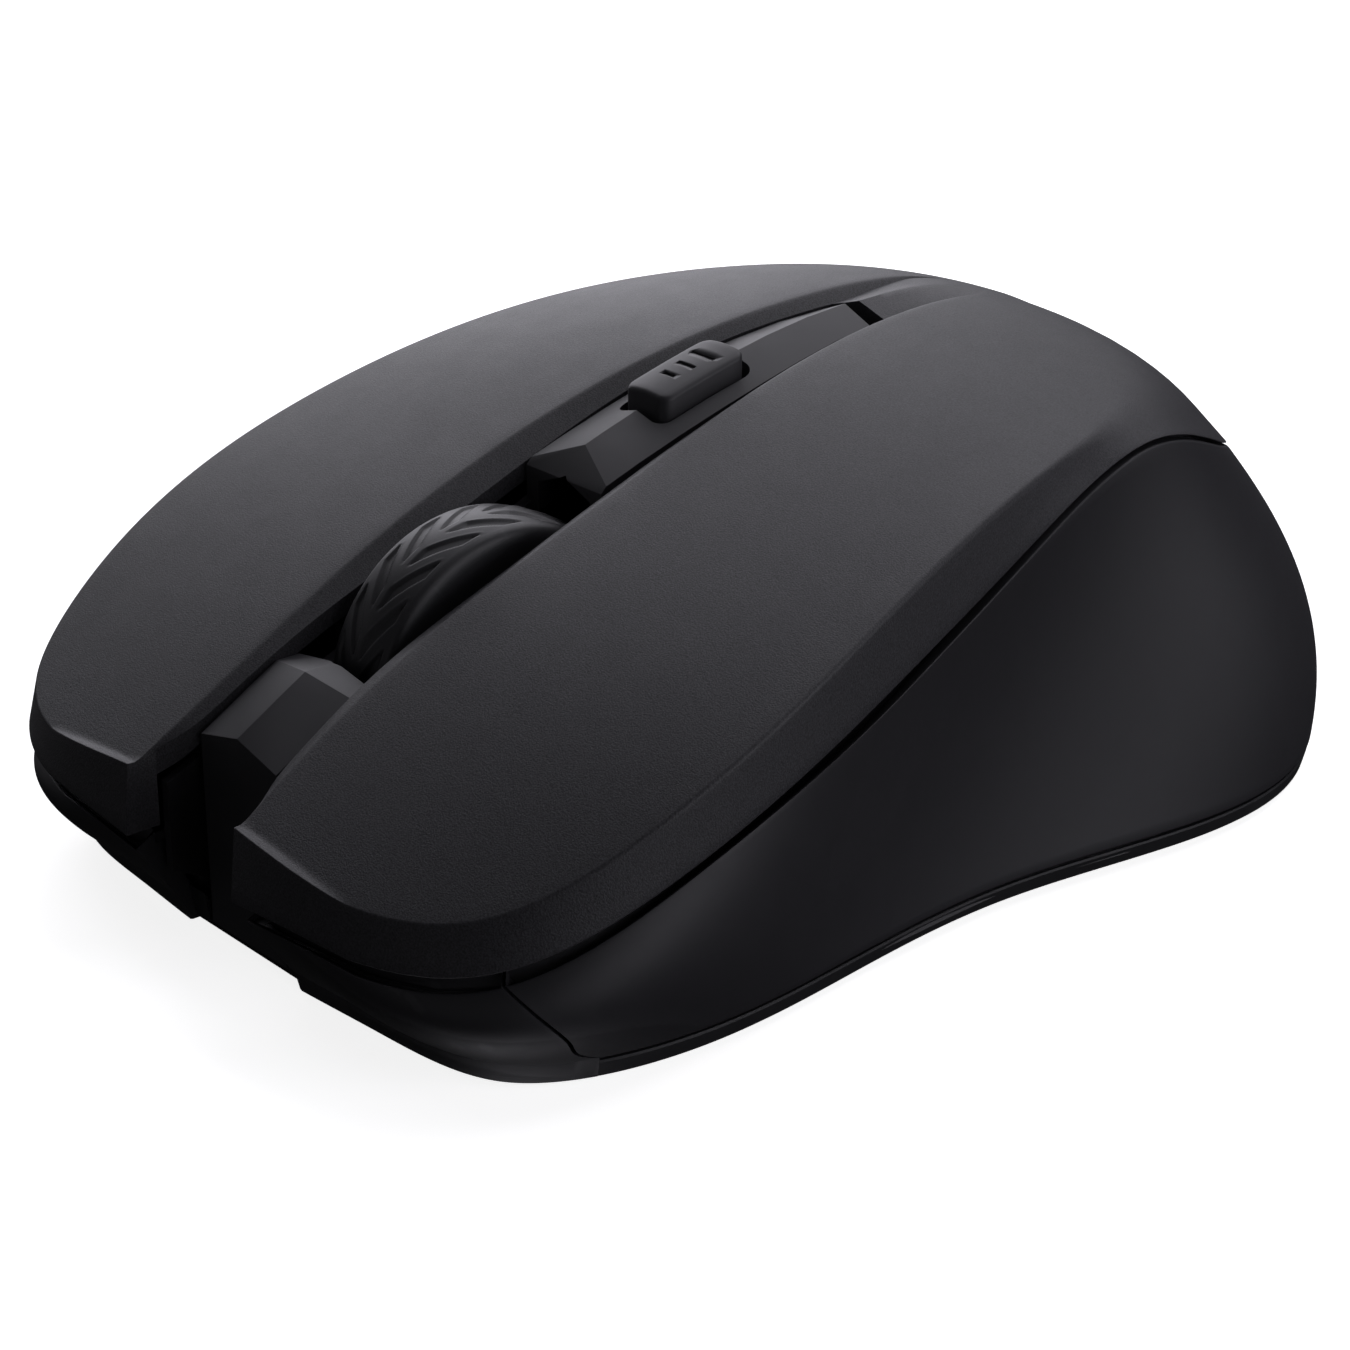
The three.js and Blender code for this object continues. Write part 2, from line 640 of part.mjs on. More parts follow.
// ---------- springs and wires ----------
// A tube along a curve, as a closed body.
function tube(curve, radius, steps, sides) {
  const section = new THREE.Shape();
  section.absarc(0, 0, radius, 0, Math.PI * 2);
  const options = { steps, extrudePath: curve, bevelEnabled: false, curveSegments: sides };
  return solid(new THREE.ExtrudeGeometry(section, options));
}

class Coil extends THREE.Curve {
  constructor(axis, start, length, radii, turns) {
    super();
    Object.assign(this, { axis, start, length, radii, turns });
  }

  getPoint(t, target = new THREE.Vector3()) {
    const radius = THREE.MathUtils.lerp(this.radii[0], this.radii[1], t);
    const angle = t * this.turns * Math.PI * 2;
    const [a, b] = [Math.cos(angle) * radius, Math.sin(angle) * radius];
    const reach = this.length * t;
    if (this.axis === "x") return target.set(reach, a, b).add(this.start);
    return target.set(a, b, reach).add(this.start);
  }
}

function wire(side) {
  const from = new THREE.Vector3(side * 26.2, CELL.y - 9, 8);
  const points = [
    from,
    new THREE.Vector3(side * 24.2, 16.2, 8.8),
    new THREE.Vector3(side * 19, 13.2, 9.6),
    new THREE.Vector3(side * 16, 10.8, 9.4),
    new THREE.Vector3(side * 15, 8.6, BOARD.top + GAP),
  ];
  return tube(new THREE.CatmullRomCurve3(points), 0.6, 14, 4);
}

// ---------- board and what is on it ----------
function mainBoard() {
  const plate = slab(roundedPlan(-BOARD.halfWidth, BOARD.front, BOARD.halfWidth, BOARD.rear, 2), BOARD.bottom, BOARD.top);
  const corners = [1, -1].map((side) => {
    const x = side > 0 ? 19 : -27;
    return box([x, -60, 0], [x + 8, -37, 20]);
  });
  const bossNotches = [1, -1].map((side) => {
    const x = side > 0 ? BOSS.x - 2.8 : -BOSS.x - 6;
    return box([x, BOSS.y - 2.8, 0], [x + 8.8, 20, 20]);
  });
  return cut(
    plate,
    ...corners,
    ...bossNotches,
    box([-6.9, -60, 0], [6.9, -9.6, 20]),
    box([-2.6, SENSOR.y - 2.6, 0], [2.6, SENSOR.y + 2.6, 20]),
    bar("z", 1.9, 0, 20, 0, SENSOR.y - 7.6, 16),
    ...BOARD_SCREWS.map(([x, y]) => bar("z", 1.3, 0, 20, x, y, 12)),
  );
}

function clickSwitch(x) {
  const low = BOARD.top + GAP;
  const high = BOARD.top + SWITCH.height;
  const body = box([x - SWITCH.halfWidth, SWITCH.front, low], [x + SWITCH.halfWidth, SWITCH.rear, high]);
  const y = SWITCH.plungerY;
  return cut(body, box([x - 1.1, y - 1.5, high - 1.6], [x + 1.1, y + 1.5, high + 1]));
}

function clickPlunger(x) {
  const high = BOARD.top + SWITCH.height;
  const y = SWITCH.plungerY;
  return box([x - 0.8, y - 1.2, high - 0.9], [x + 0.8, y + 1.2, high + SWITCH.plungerRise]);
}

function tactSwitch(x, y) {
  const body = box([x - 3, y - 3, BOARD.top + GAP], [x + 3, y + 3, BOARD.top + 3.6]);
  return cut(body, bar("z", 1.9, BOARD.top + 2, 20, x, y, 20));
}

const tactPlunger = (x, y) => bar("z", 1.6, BOARD.top + 2.7, BOARD.top + 4.6, x, y, 20);

function sensorLens() {
  const dome = bar("z", 2.2, 2.6, 4.6, 0, SENSOR.y, 20);
  const plate = box([-6, SENSOR.y - 5.4, FLOOR_TOP + GAP], [6, SENSOR.y + 5.4, 3.6]);
  const prism = box([-1.8, SENSOR.y - 3.9, 1.4], [1.8, SENSOR.y - 1.4, 2.9]);
  return join(plate, dome, prism);
}

function sleeve() {
  const { y, z, radius, halfLength } = CELL;
  const can = bar("x", radius, -halfLength, halfLength - 1, y, z, 36);
  return join(can, bar("x", 2.7, halfLength - 1.2, halfLength, y, z, 20));
}

function caseScrew([x, y], low) {
  const head = bar("z", SCREW.headRadius, low, low + 0.6, x, y, 16);
  const shank = bar("z", SCREW.shank, low + 0.4, low + SCREW.length, x, y, 12);
  const across = box([x - 1.2, y - 0.2, low - 1], [x + 1.2, y + 0.2, low + 0.3]);
  const down = box([x - 0.2, y - 1.2, low - 1], [x + 0.2, y + 1.2, low + 0.3]);
  return cut(join(head, shank), across, down);
}

function boardScrew([x, y]) {
  const head = bar("z", 2, BOARD.top + GAP, BOARD.top + 1.5, x, y, 16);
  return join(head, bar("z", 0.95, 3.4, BOARD.top + 0.5, x, y, 12));
}

// ---------- the assembly ----------
piece("palm_cover", palmCover(), "grainedShell");
const button = leftButton();
piece("left_button", button, "grainedShell");
piece("right_button", mirrored(button), "grainedShell");
const panel = leftPanel();
piece("left_side_panel", panel, "smoothShell");
piece("right_side_panel", mirrored(panel), "smoothShell");
piece("bottom_case", bottomCase(), "darkPlastic");
piece("centre_spine", centreSpine(), "smoothShell");
piece("nose_frame", noseFrame(), "darkPlastic");
piece("dpi_button", dpiButton(), "smoothShell");

piece("wheel_tyre", wheelTyre(), "rubber");
piece("wheel_hub", wheelHub(), "blackPlastic");
piece("wheel_axle", bar("x", AXLE.radius, AXLE.from, AXLE.to, WHEEL.y, WHEEL.z, 6), "steel");
piece("wheel_carrier", wheelCarrier(), "blackPlastic");
const carrierCoil = new Coil("z", new THREE.Vector3(0, -39.8, 3.0), 6.0, [1.5, 1.5], 4);
piece("carrier_spring", tube(carrierCoil, 0.25, 44, 2), "steel");
piece("scroll_encoder", scrollEncoder(), "darkPlastic");
const rotor = cut(
  bar("x", 2.1, -11.8, -8.6, WHEEL.y, WHEEL.z, 20),
  bar("x", AXLE.radius + GAP, -10.6, -8, WHEEL.y, WHEEL.z, 6),
);
piece("encoder_rotor", rotor, "whitePlastic");

piece("main_board", mainBoard(), "board");
for (const [name, x] of [
  ["left", SWITCH.x],
  ["right", -SWITCH.x],
]) {
  piece(name + "_switch", clickSwitch(x), "blackPlastic");
  piece(name + "_switch_plunger", clickPlunger(x), "whitePlastic");
}
const MIDDLE_SWITCH = [11.2, WHEEL.y];
piece("middle_switch", tactSwitch(...MIDDLE_SWITCH), "steel");
piece("middle_switch_plunger", tactPlunger(...MIDDLE_SWITCH), "blackPlastic");
piece("dpi_switch", tactSwitch(0, DPI.switchY - 0.4), "steel");
piece("dpi_switch_plunger", tactPlunger(0, DPI.switchY - 0.4), "redPlastic");
piece("optical_sensor", box([-5, SENSOR.y - 4.5, BOARD.top + GAP], [5, SENSOR.y + 4.5, BOARD.top + 3]), "blackPlastic");
piece("sensor_lens", sensorLens(), "clear");
piece("infrared_led", bar("z", 1.5, 3.9, 6.6, 0, SENSOR.y - 7.6, 16), "clear");
piece("radio_chip", box([8.5, -2.5, BOARD.top + GAP], [15.5, 4.5, BOARD.top + 1.3]), "blackPlastic");
piece("crystal", slab(roundedPlan(-19, -8, -8, -4, 1.9), BOARD.top + GAP, BOARD.top + 3.6), "steel");
piece("capacitor", bar("z", 2.5, BOARD.top + GAP, BOARD.top + 6, 19.5, -5, 20), "cellSleeve");
const powerCase = box([KNOB.x - 4.4, KNOB.y - 2, 2.8], [KNOB.x + 4.4, KNOB.y + 2, BOARD.bottom - GAP]);
piece("power_switch", cut(powerCase, box([KNOB.x - 3.4, KNOB.y - 1, 2], [KNOB.x + 3.4, KNOB.y + 1, 4.4])), "steel");
piece("power_knob", box([KNOB.x - 2.9, KNOB.y - 0.7, 1.1], [KNOB.x - 0.3, KNOB.y + 0.7, 4]), "whitePlastic");

piece("aa_cell", sleeve(), "cellSleeve");
const plateContact = join(
  box([26.5, CELL.y - 5, CELL.z - 5], [27.0, CELL.y + 5, CELL.z + 5]),
  box([26.5, CELL.y - 8.2, CELL.z - 3], [27.0, CELL.y - 4, CELL.z - 1.4]),
);
piece("battery_plate", plateContact, "gold");
const contactCoil = new Coil("x", new THREE.Vector3(-26.45, CELL.y, CELL.z), 0.6, [4, 1.6], 2);
const springContact = join(
  box([-27.0, CELL.y - 5, CELL.z - 5], [-26.5, CELL.y + 5, CELL.z + 5]),
  box([-27.0, CELL.y - 8.2, CELL.z - 3], [-26.5, CELL.y - 4, CELL.z - 1.4]),
  tube(contactCoil, 0.3, 24, 2),
);
piece("battery_spring", springContact, "steel");
piece("red_wire", wire(1), "redPlastic");
piece("black_wire", wire(-1), "blackPlastic");
piece("battery_door", batteryDoor(), "darkPlastic");
const receiverBody = box([-9.4, RECEIVER.y - 3, RECEIVER.z - 7.2], [-3.2, RECEIVER.y + 3, RECEIVER.z + 7.2]);
piece("receiver_body", receiverBody, "blackPlastic");
const plug = cut(
  box([-2.9, RECEIVER.y - 2.2, RECEIVER.z - 6], [9.2, RECEIVER.y + 2.2, RECEIVER.z + 6]),
  box([-0.5, RECEIVER.y - 0.4, RECEIVER.z - 5.6], [9.5, RECEIVER.y + 1.8, RECEIVER.z + 5.6]),
);
piece("receiver_plug", plug, "steel");

piece("front_foot", slab(roundedPlan(-16, -44.9, 16, -40.7, 2), 0, FOOT), "glide");
for (const [name, x] of [
  ["rear_left_foot", 27.2],
  ["rear_right_foot", -30.6],
]) {
  piece(name, slab(roundedPlan(x, 17, x + 3.4, 37, 1.6), 0, FOOT), "glide");
}
CASE_SCREWS.forEach((at, i) => piece("case_screw_" + (i + 1), caseScrew(at, 1.0), "steel"));
BOARD_SCREWS.forEach((at, i) => piece("board_screw_" + (i + 1), boardScrew(at), "steel"));
piece("rating_label", slab(roundedPlan(-15, -30, 15, -14, 0.8), BASE_BOTTOM + 0.05, BASE_BOTTOM + 0.2), "label");

export default mouse;
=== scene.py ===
"""Looks of a compact wireless mouse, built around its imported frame.

The tables are in millimetres of a mouse of nominal size, and MM turns them into the frame's metres.
The nose points along -Y and the user's left hand side is +X.
"""

import json
import math

import bmesh
import bpy
import numpy as np
from mathutils import Matrix, Vector
from mathutils.kdtree import KDTree


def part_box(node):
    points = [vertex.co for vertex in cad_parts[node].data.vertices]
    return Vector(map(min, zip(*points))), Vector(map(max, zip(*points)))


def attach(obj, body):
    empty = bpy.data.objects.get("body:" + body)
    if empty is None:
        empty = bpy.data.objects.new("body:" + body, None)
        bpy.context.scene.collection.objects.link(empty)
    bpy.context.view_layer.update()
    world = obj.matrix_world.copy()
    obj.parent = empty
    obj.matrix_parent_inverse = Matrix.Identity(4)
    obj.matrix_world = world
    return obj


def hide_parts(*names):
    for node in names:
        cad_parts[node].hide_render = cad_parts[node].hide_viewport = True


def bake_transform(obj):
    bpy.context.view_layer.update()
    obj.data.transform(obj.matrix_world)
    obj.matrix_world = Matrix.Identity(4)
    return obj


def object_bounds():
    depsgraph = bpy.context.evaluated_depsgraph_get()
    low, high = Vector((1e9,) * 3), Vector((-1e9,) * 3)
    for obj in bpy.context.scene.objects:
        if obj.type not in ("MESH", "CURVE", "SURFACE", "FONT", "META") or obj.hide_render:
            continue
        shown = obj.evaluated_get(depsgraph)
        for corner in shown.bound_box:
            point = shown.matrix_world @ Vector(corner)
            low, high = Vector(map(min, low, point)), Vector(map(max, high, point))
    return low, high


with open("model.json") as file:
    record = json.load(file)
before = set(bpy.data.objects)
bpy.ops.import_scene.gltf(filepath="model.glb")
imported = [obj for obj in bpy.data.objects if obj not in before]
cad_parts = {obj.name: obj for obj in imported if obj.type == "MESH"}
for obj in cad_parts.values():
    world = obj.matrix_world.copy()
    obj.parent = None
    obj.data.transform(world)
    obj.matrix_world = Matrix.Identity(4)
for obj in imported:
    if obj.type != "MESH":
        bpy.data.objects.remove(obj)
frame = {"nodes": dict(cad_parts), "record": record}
CAD_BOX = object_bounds()
NOMINAL_WIDTH = 71.42
MM = (CAD_BOX[1].x - CAD_BOX[0].x) / NOMINAL_WIDTH

# ---------- the shape that the covers share ----------
# One side of the outline, from the middle of the nose to the middle of the tail. x, y: lower edge of the
# cover; skirt: height of the band; crease: how far the crease lies inside the edge; base: how far the foot of
# the side lies inside the edge; belly: how far the side swells; blend: how far the crease is rounded over.
# This table, SPINE_LINE, CROWN and the channel's tables started as a least-squares fit of the whole shape,
# rounded to a tenth, and some rows were changed.
STATIONS = [
    dict(x=0, y=-51.5, skirt=6.3, crease=0.8, base=4.4, belly=-0.5, blend=0.08),
    dict(x=15.8, y=-51.2, skirt=4.3, crease=0.4, base=5.0, belly=0.6, blend=0.08),
    dict(x=29.5, y=-46.2, skirt=3.8, crease=0.9, base=3.4, belly=1.8, blend=0.13),
    dict(x=35.05, y=-33.7, skirt=4.8, crease=0.4, base=2.7, belly=1.4, blend=0.28),
    dict(x=34.2, y=-13.2, skirt=5.8, crease=0.4, base=2.4, belly=-0.4, blend=0.36),
    dict(x=31.3, y=2.9, skirt=4.4, crease=0.8, base=0.3, belly=-1.0, blend=0.42),
    dict(x=28.8, y=18.9, skirt=1.7, crease=2.8, base=-4.4, belly=0, blend=1.1),
    dict(x=24.9, y=31.9, skirt=5.1, crease=5.5, base=-7.8, belly=2.5, blend=4.2),
    dict(x=13.4, y=42.0, skirt=8.9, crease=7.5, base=-9.3, belly=2.7, blend=6.5),
    dict(x=0, y=44.0, skirt=12.5, crease=8.7, base=-8.2, belly=2.0, blend=7.5),
]
# Height of the cover along the middle, and how much lower it is CROWN_AT to the side.
SPINE_LINE = [
    (-50.2, 15.2), (-34.2, 24.4), (-17.2, 31.6), (0.8, 37.0), (15.8, 38.9), (30.8, 36.9), (41.8, 30.8)
]
CROWN = [(-51.2, 4.2), (-34.2, 2.8), (-14.2, 2.4), (5.8, 3.6), (25.8, 5.9), (42.8, 8.9)]
CROWN_AT = 30

# The channel down the middle: its upper edge, the foot of its sloping side and how deep the foot lies.
CHANNEL_EDGE = [(-51, 7.0), (-47, 6.65), (-19, 7.0), (6, 5.3), (15.3, 4.4), (26, 3.6), (34, 3.0)]
CHANNEL_FOOT = [
    (-51, 6.98), (-49, 6.7), (-46.5, 5.7), (-44, 5.3), (-13, 4.95), (1, 4.65), (14, 3.35), (34, 2.4)
]
CHANNEL_DEPTH = [
    (-50.4, 0.02), (-47, 0.4), (-40, 0.5), (-33, 0.9), (-27, 1.35), (-18, 1.4), (-6, 1.05), (15, 0.9)
]
FADE = (15.2, 28)  # where the channel runs out on the palm
OPENING_END = 15.2
FLEX_Y = 13.0  # the line where the button plates end and the palm begins; on the real mouse the plates bend about it
# Which place along the channel faces each station of the outline.
CHANNEL_PLACE = [
    (1, -44.5), (2, -38.5), (3, -29.5), (4, -12.6), (5, 3.2), (6, 17.6), (7, 26.5), (8, 31), (9, 32.5)
]

LIP_X = 7.0  # inner corner of a button at the nose
LIP_REAR = -48.8
WALL = 1.7
PLATE_EDGE = 1.5
FOOT_Z = 2.25  # where the side panels stand on the case
TAIL_HALF = 9.15
CHEEK_X = 7.4  # inner end of the case's wall at the nose
SEAM_GAP = 0.3
NOSE_END = -32  # behind this the case shows only its rim
SOLE_Z = 0.5  # underside edge of the case
RIM_TOP = FOOT_Z - SEAM_GAP
RIM_TUCK = 0.45  # how far the underside edge is drawn in
DOOR_HALF = 25.6
DOOR_GAP = 0.1
NOSE_TUCK = 0.9  # how far the sides' upper edge is drawn in at the nose
GROOVE = 1.3  # how far the sides' upper edge slopes down inward at the nose
LIP_RISE = 0.15  # how far a side's inner lip stands above the cover's edge
# Front seam of a side panel: height, place.
SEAM = [(2.2, -37.6), (3.2, -39.6), (5.0, -41.2), (7.0, -42.9), (9.5, -44.7), (12, -45.5), (20, -45.6)]


def second_slopes(at, values, closed):
    """Second derivative at each knot of the smoothest curve through the values."""
    gaps = np.diff(at)
    rates = np.diff(values) / gaps
    count = len(at)
    system = np.eye(count)
    target = np.zeros(count)
    for k in range(1, count - 1):
        system[k, k - 1 : k + 2] = gaps[k - 1], 2 * (gaps[k - 1] + gaps[k]), gaps[k]
        target[k] = 6 * (rates[k] - rates[k - 1])
    if closed:
        system[0, -1] = -1
        system[-1] = 0
        system[-1, [0, 1, -2, -1]] = 2 * gaps[0], gaps[0], gaps[-1], 2 * gaps[-1]
        target[-1] = 6 * (rates[0] - rates[-1])
    return np.linalg.solve(system, target)


class Profile:
    """A smooth curve through (place, value) pairs, held level past its ends."""

    def __init__(self, pairs, closed=False):
        self.at = np.array([p[0] for p in pairs], float)
        self.values = np.array([p[1] for p in pairs], float)
        self.bends = second_slopes(self.at, self.values, closed)

    def __call__(self, place):
        place = min(max(place, self.at[0]), self.at[-1])
        k = min(max(np.searchsorted(self.at, place) - 1, 0), len(self.at) - 2)
        gap = self.at[k + 1] - self.at[k]
        b = (place - self.at[k]) / gap
        a = 1 - b
        bow = ((a**3 - a) * self.bends[k] + (b**3 - b) * self.bends[k + 1]) * gap**2 / 6
        return float(a * self.values[k] + b * self.values[k + 1] + bow)


spine_line = Profile(SPINE_LINE)
crown = Profile(CROWN)
channel_edge = Profile(CHANNEL_EDGE)
channel_foot = Profile(CHANNEL_FOOT)
channel_depth = Profile(CHANNEL_DEPTH)
seam_place = Profile(SEAM)


def smooth_share(value, start, end):
    share = min(max((value - start) / (end - start), 0), 1)
    return share * share * (3 - 2 * share)


def top_height(x, y):
    return spine_line(y) - crown(y) * (x / CROWN_AT) ** 2


def closed_outline():
    """Smooth closed curves for each column of STATIONS, over the distance round the outline."""
    back = [dict(s, x=-s["x"]) for s in reversed(STATIONS[1:-1])]
    loop = STATIONS + back + STATIONS[:1]
    steps = [math.hypot(b["x"] - a["x"], b["y"] - a["y"]) for a, b in zip(loop, loop[1:])]
    places = np.concatenate([[0], np.cumsum(steps)])
    curves = {key: Profile([(p, s[key]) for p, s in zip(places, loop)], closed=True) for key in STATIONS[0]}
    return places, curves


PLACES, OUTLINE = closed_outline()
TAIL = PLACES[len(STATIONS) - 1]


def plan_point(t, inset):
    """A point of the outline, drawn in by inset along the outline's normal."""
    x, y = OUTLINE["x"](t), OUTLINE["y"](t)
    step = 0.01
    low, high = max(t - step, 0), min(t + step, PLACES[-1])
    run_x = OUTLINE["x"](high) - OUTLINE["x"](low)
    run_y = OUTLINE["y"](high) - OUTLINE["y"](low)
    tangent = Vector((run_x, run_y)).normalized()
    if t >= TAIL - 1e-6:
        tangent = Vector((-1, 0))
    return x - tangent.y * inset, y + tangent.x * inset


def find(test, low, high):
    """The value between low and high where test changes from negative to positive."""
    for _ in range(50):
        middle = (low + high) / 2
        if test(middle) < 0:
            low = middle
        else:
            high = middle
    return (low + high) / 2


def edge_height(t):
    x, y = plan_point(t, OUTLINE["crease"](t))
    return top_height(x, y) - OUTLINE["skirt"](t)


def on_top(x, y):
    return Vector((x, y, top_height(x, y)))


def on_arc(start, corner, end, share):
    return start * (1 - share) ** 2 + corner * 2 * share * (1 - share) + end * share**2


def toward(start, end, distance):
    reach = (end - start).length
    return start.lerp(end, min(distance / reach, 1)) if reach > 1e-9 else start.copy()


LIP_PLACE = find(lambda t: OUTLINE["x"](t) - LIP_X, 0, PLACES[1])
FIRST_CREASE = plan_point(LIP_PLACE, OUTLINE["crease"](LIP_PLACE) + OUTLINE["blend"](LIP_PLACE))[1]
channel_place = Profile([(LIP_PLACE, FIRST_CREASE)] + [(PLACES[k], y) for k, y in CHANNEL_PLACE])
FLEX_PLACE = find(lambda t: channel_place(t) - FLEX_Y, PLACES[3], PLACES[7])
OPENING_PLACE = find(lambda t: channel_place(t) - OPENING_END, PLACES[3], PLACES[7])

# Steps across one section of the cover.
MIDDLE_STEPS, SLOPE_STEPS, EDGE_STEPS, TOP_STEPS, BLEND_STEPS, BAND_STEPS, RIM_STEPS = 5, 3, 3, 26, 8, 5, 3
ACROSS = MIDDLE_STEPS + SLOPE_STEPS + EDGE_STEPS + TOP_STEPS + BLEND_STEPS + BAND_STEPS + RIM_STEPS


def channel_points(t, open_below):
    """Middle, foot and edge of the channel that face a place on the outline."""
    y = channel_place(t)
    narrow = 1 - smooth_share(y, 24, channel_place(TAIL))
    fade = 1 - smooth_share(y, *FADE)
    edge = on_top(channel_edge(y) * narrow, y)
    foot_x = edge.x - (edge.x - channel_foot(y) * narrow) * max(fade, 0.02)
    foot = Vector((foot_x, y, edge.z - channel_depth(y) * fade))
    if t <= LIP_PLACE:
        foot.x = edge.x = LIP_X
    ridge = on_top(0, y)
    middle = foot.copy() if open_below else ridge
    return middle, foot, edge


def cover_skin(t, open_below):
    """Points of the outer skin, from the middle of the channel to the underside of the lower edge."""
    middle, foot, edge = channel_points(t, open_below)
    blend = OUTLINE["blend"](t)
    crease = OUTLINE["crease"](t)
    start = on_top(*plan_point(t, crease + blend))
    ahead = on_top(*plan_point(t, crease + blend - 0.05))
    over = start + (ahead - start) * (blend / 0.05)
    rim = Vector((*plan_point(t, 0), edge_height(t)))
    under = Vector((*plan_point(t, PLATE_EDGE), rim.z))
    after = toward(over, rim, min(blend * 1.3, (rim - over).length * 0.55))
    points = [middle.lerp(foot, k / MIDDLE_STEPS) for k in range(MIDDLE_STEPS)]
    turn = min(0.25, (edge - foot).length * 0.4, (start - edge).length * 0.4)
    slope_end = toward(edge, foot, turn)
    first = toward(edge, start, turn)
    points += [foot.lerp(slope_end, k / SLOPE_STEPS) for k in range(SLOPE_STEPS)]
    points += [on_arc(slope_end, edge, first, k / EDGE_STEPS) for k in range(EDGE_STEPS)]
    for k in range(TOP_STEPS):
        flat = first.lerp(start, k / TOP_STEPS)
        points.append(on_top(flat.x, flat.y))
    points += [on_arc(start, over, after, k / BLEND_STEPS) for k in range(BLEND_STEPS)]
    low = toward(rim, after, 0.25)
    points += [after.lerp(low, k / BAND_STEPS) for k in range(BAND_STEPS)]
    tucked = toward(rim, under, 0.25)
    points += [on_arc(low, rim, tucked, k / RIM_STEPS) for k in range(RIM_STEPS + 1)]
    return points


def along_line(corners, steps):
    """Points along a line of corners, with the given number of steps between each pair."""
    points = []
    for (a, b), count in zip(zip(corners, corners[1:]), steps):
        points += [a.lerp(b, k / count) for k in range(count)]
    return points + [corners[-1]]


def cover_lining(t, open_below):
    """Points of the inner skin, one for each point of the outer skin."""
    middle, foot, edge = channel_points(t, open_below)
    low_edge = edge_height(t)
    if t <= LIP_PLACE:
        lip = Vector((LIP_X, OUTLINE["y"](t) + 0.2, low_edge))
        return [lip] * (ACROSS + 1)
    corner = on_top(*plan_point(t, OUTLINE["crease"](t) + WALL))
    corner.z -= WALL * 0.8
    under = Vector((*plan_point(t, PLATE_EDGE), low_edge))
    deep = foot.y < LIP_REAR
    below = foot.z - low_edge if deep else PLATE_EDGE + 0.5 * smooth_share(-foot.y, 44, 48)
    sill = foot - Vector((0, 0, below))
    inner = toward(Vector((sill.x, sill.y, 0)), Vector((corner.x, corner.y, 0)), 1.2)
    roof = on_top(inner.x, inner.y) - Vector((0, 0, WALL))
    shelf = Vector((inner.x, inner.y, min(sill.z, roof.z - 0.01)))
    start = middle - Vector((0, 0, below)) if not open_below else sill
    line = along_line(
        [start, sill, shelf, roof, corner, under],
        [MIDDLE_STEPS, SLOPE_STEPS, EDGE_STEPS, TOP_STEPS, BLEND_STEPS + BAND_STEPS + RIM_STEPS],
    )
    roof_start = MIDDLE_STEPS + SLOPE_STEPS + EDGE_STEPS + 1
    roof_end = ACROSS - BLEND_STEPS - BAND_STEPS - RIM_STEPS
    for k in range(roof_start, roof_end):
        line[k].z = top_height(line[k].x, line[k].y) - WALL
    return line


# ---------- making pieces ----------
def new_piece(name, bm, materials, body, replaced=(), sharp=32):
    """Turns a bmesh in millimetres into a finished object that rides on a body."""
    bmesh.ops.transform(bm, matrix=Matrix.Scale(MM, 4), verts=bm.verts)
    for face in bm.faces:
        face.smooth = True
    for edge in bm.edges:
        if len(edge.link_faces) == 2 and edge.calc_face_angle(0) > math.radians(sharp):
            edge.smooth = False
    mesh = bpy.data.meshes.new(name)
    bm.to_mesh(mesh)
    bm.free()
    piece = bpy.data.objects.new(name, mesh)
    bpy.context.scene.collection.objects.link(piece)
    for material in materials:
        mesh.materials.append(material)
    if body:
        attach(piece, body)
    if replaced:
        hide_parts(*replaced)
    return piece


def walled_sheet(skins, linings, drop_middle=False):
    """A closed wall between two sheets, each a list of rows with equal numbers of points."""
    rows, across = len(skins), len(skins[0])
    bm = bmesh.new()
    row_of = bm.verts.layers.int.new("row")
    place_of = bm.verts.layers.int.new("place")
    bmesh.ops.create_grid(bm, x_segments=rows - 1, y_segments=across - 1, size=1)
    for vert in bm.verts:
        vert[row_of] = round((vert.co.x + 1) / 2 * (rows - 1))
        vert[place_of] = round((vert.co.y + 1) / 2 * (across - 1))
    outer = list(bm.verts)
    pulled = bmesh.ops.extrude_face_region(bm, geom=bm.faces[:], use_keep_orig=True)
    inner = [item for item in pulled["geom"] if isinstance(item, bmesh.types.BMVert)]
    for vert in outer:
        vert.co = skins[vert[row_of]][vert[place_of]]
    for vert in inner:
        vert.co = linings[vert[row_of]][vert[place_of]]
    if drop_middle:
        flat = [f for f in bm.faces if all(abs(v.co.x) < 1e-5 for v in f.verts)]
        bmesh.ops.delete(bm, geom=flat, context="FACES")
        mirror_over_middle(bm, keep=True)
    bmesh.ops.remove_doubles(bm, verts=bm.verts, dist=1e-4)
    bmesh.ops.dissolve_degenerate(bm, edges=bm.edges, dist=1e-5)
    bmesh.ops.recalc_face_normals(bm, faces=bm.faces)
    return bm


def mirror_over_middle(bm, keep):
    """The mirror image across x = 0, beside the first half or in its place."""
    if keep:
        bmesh.ops.mirror(bm, geom=bm.verts[:] + bm.edges[:] + bm.faces[:], axis="X", merge_dist=1e-4)
    else:
        bmesh.ops.scale(bm, vec=(-1, 1, 1), verts=bm.verts)
        bmesh.ops.reverse_faces(bm, faces=bm.faces)


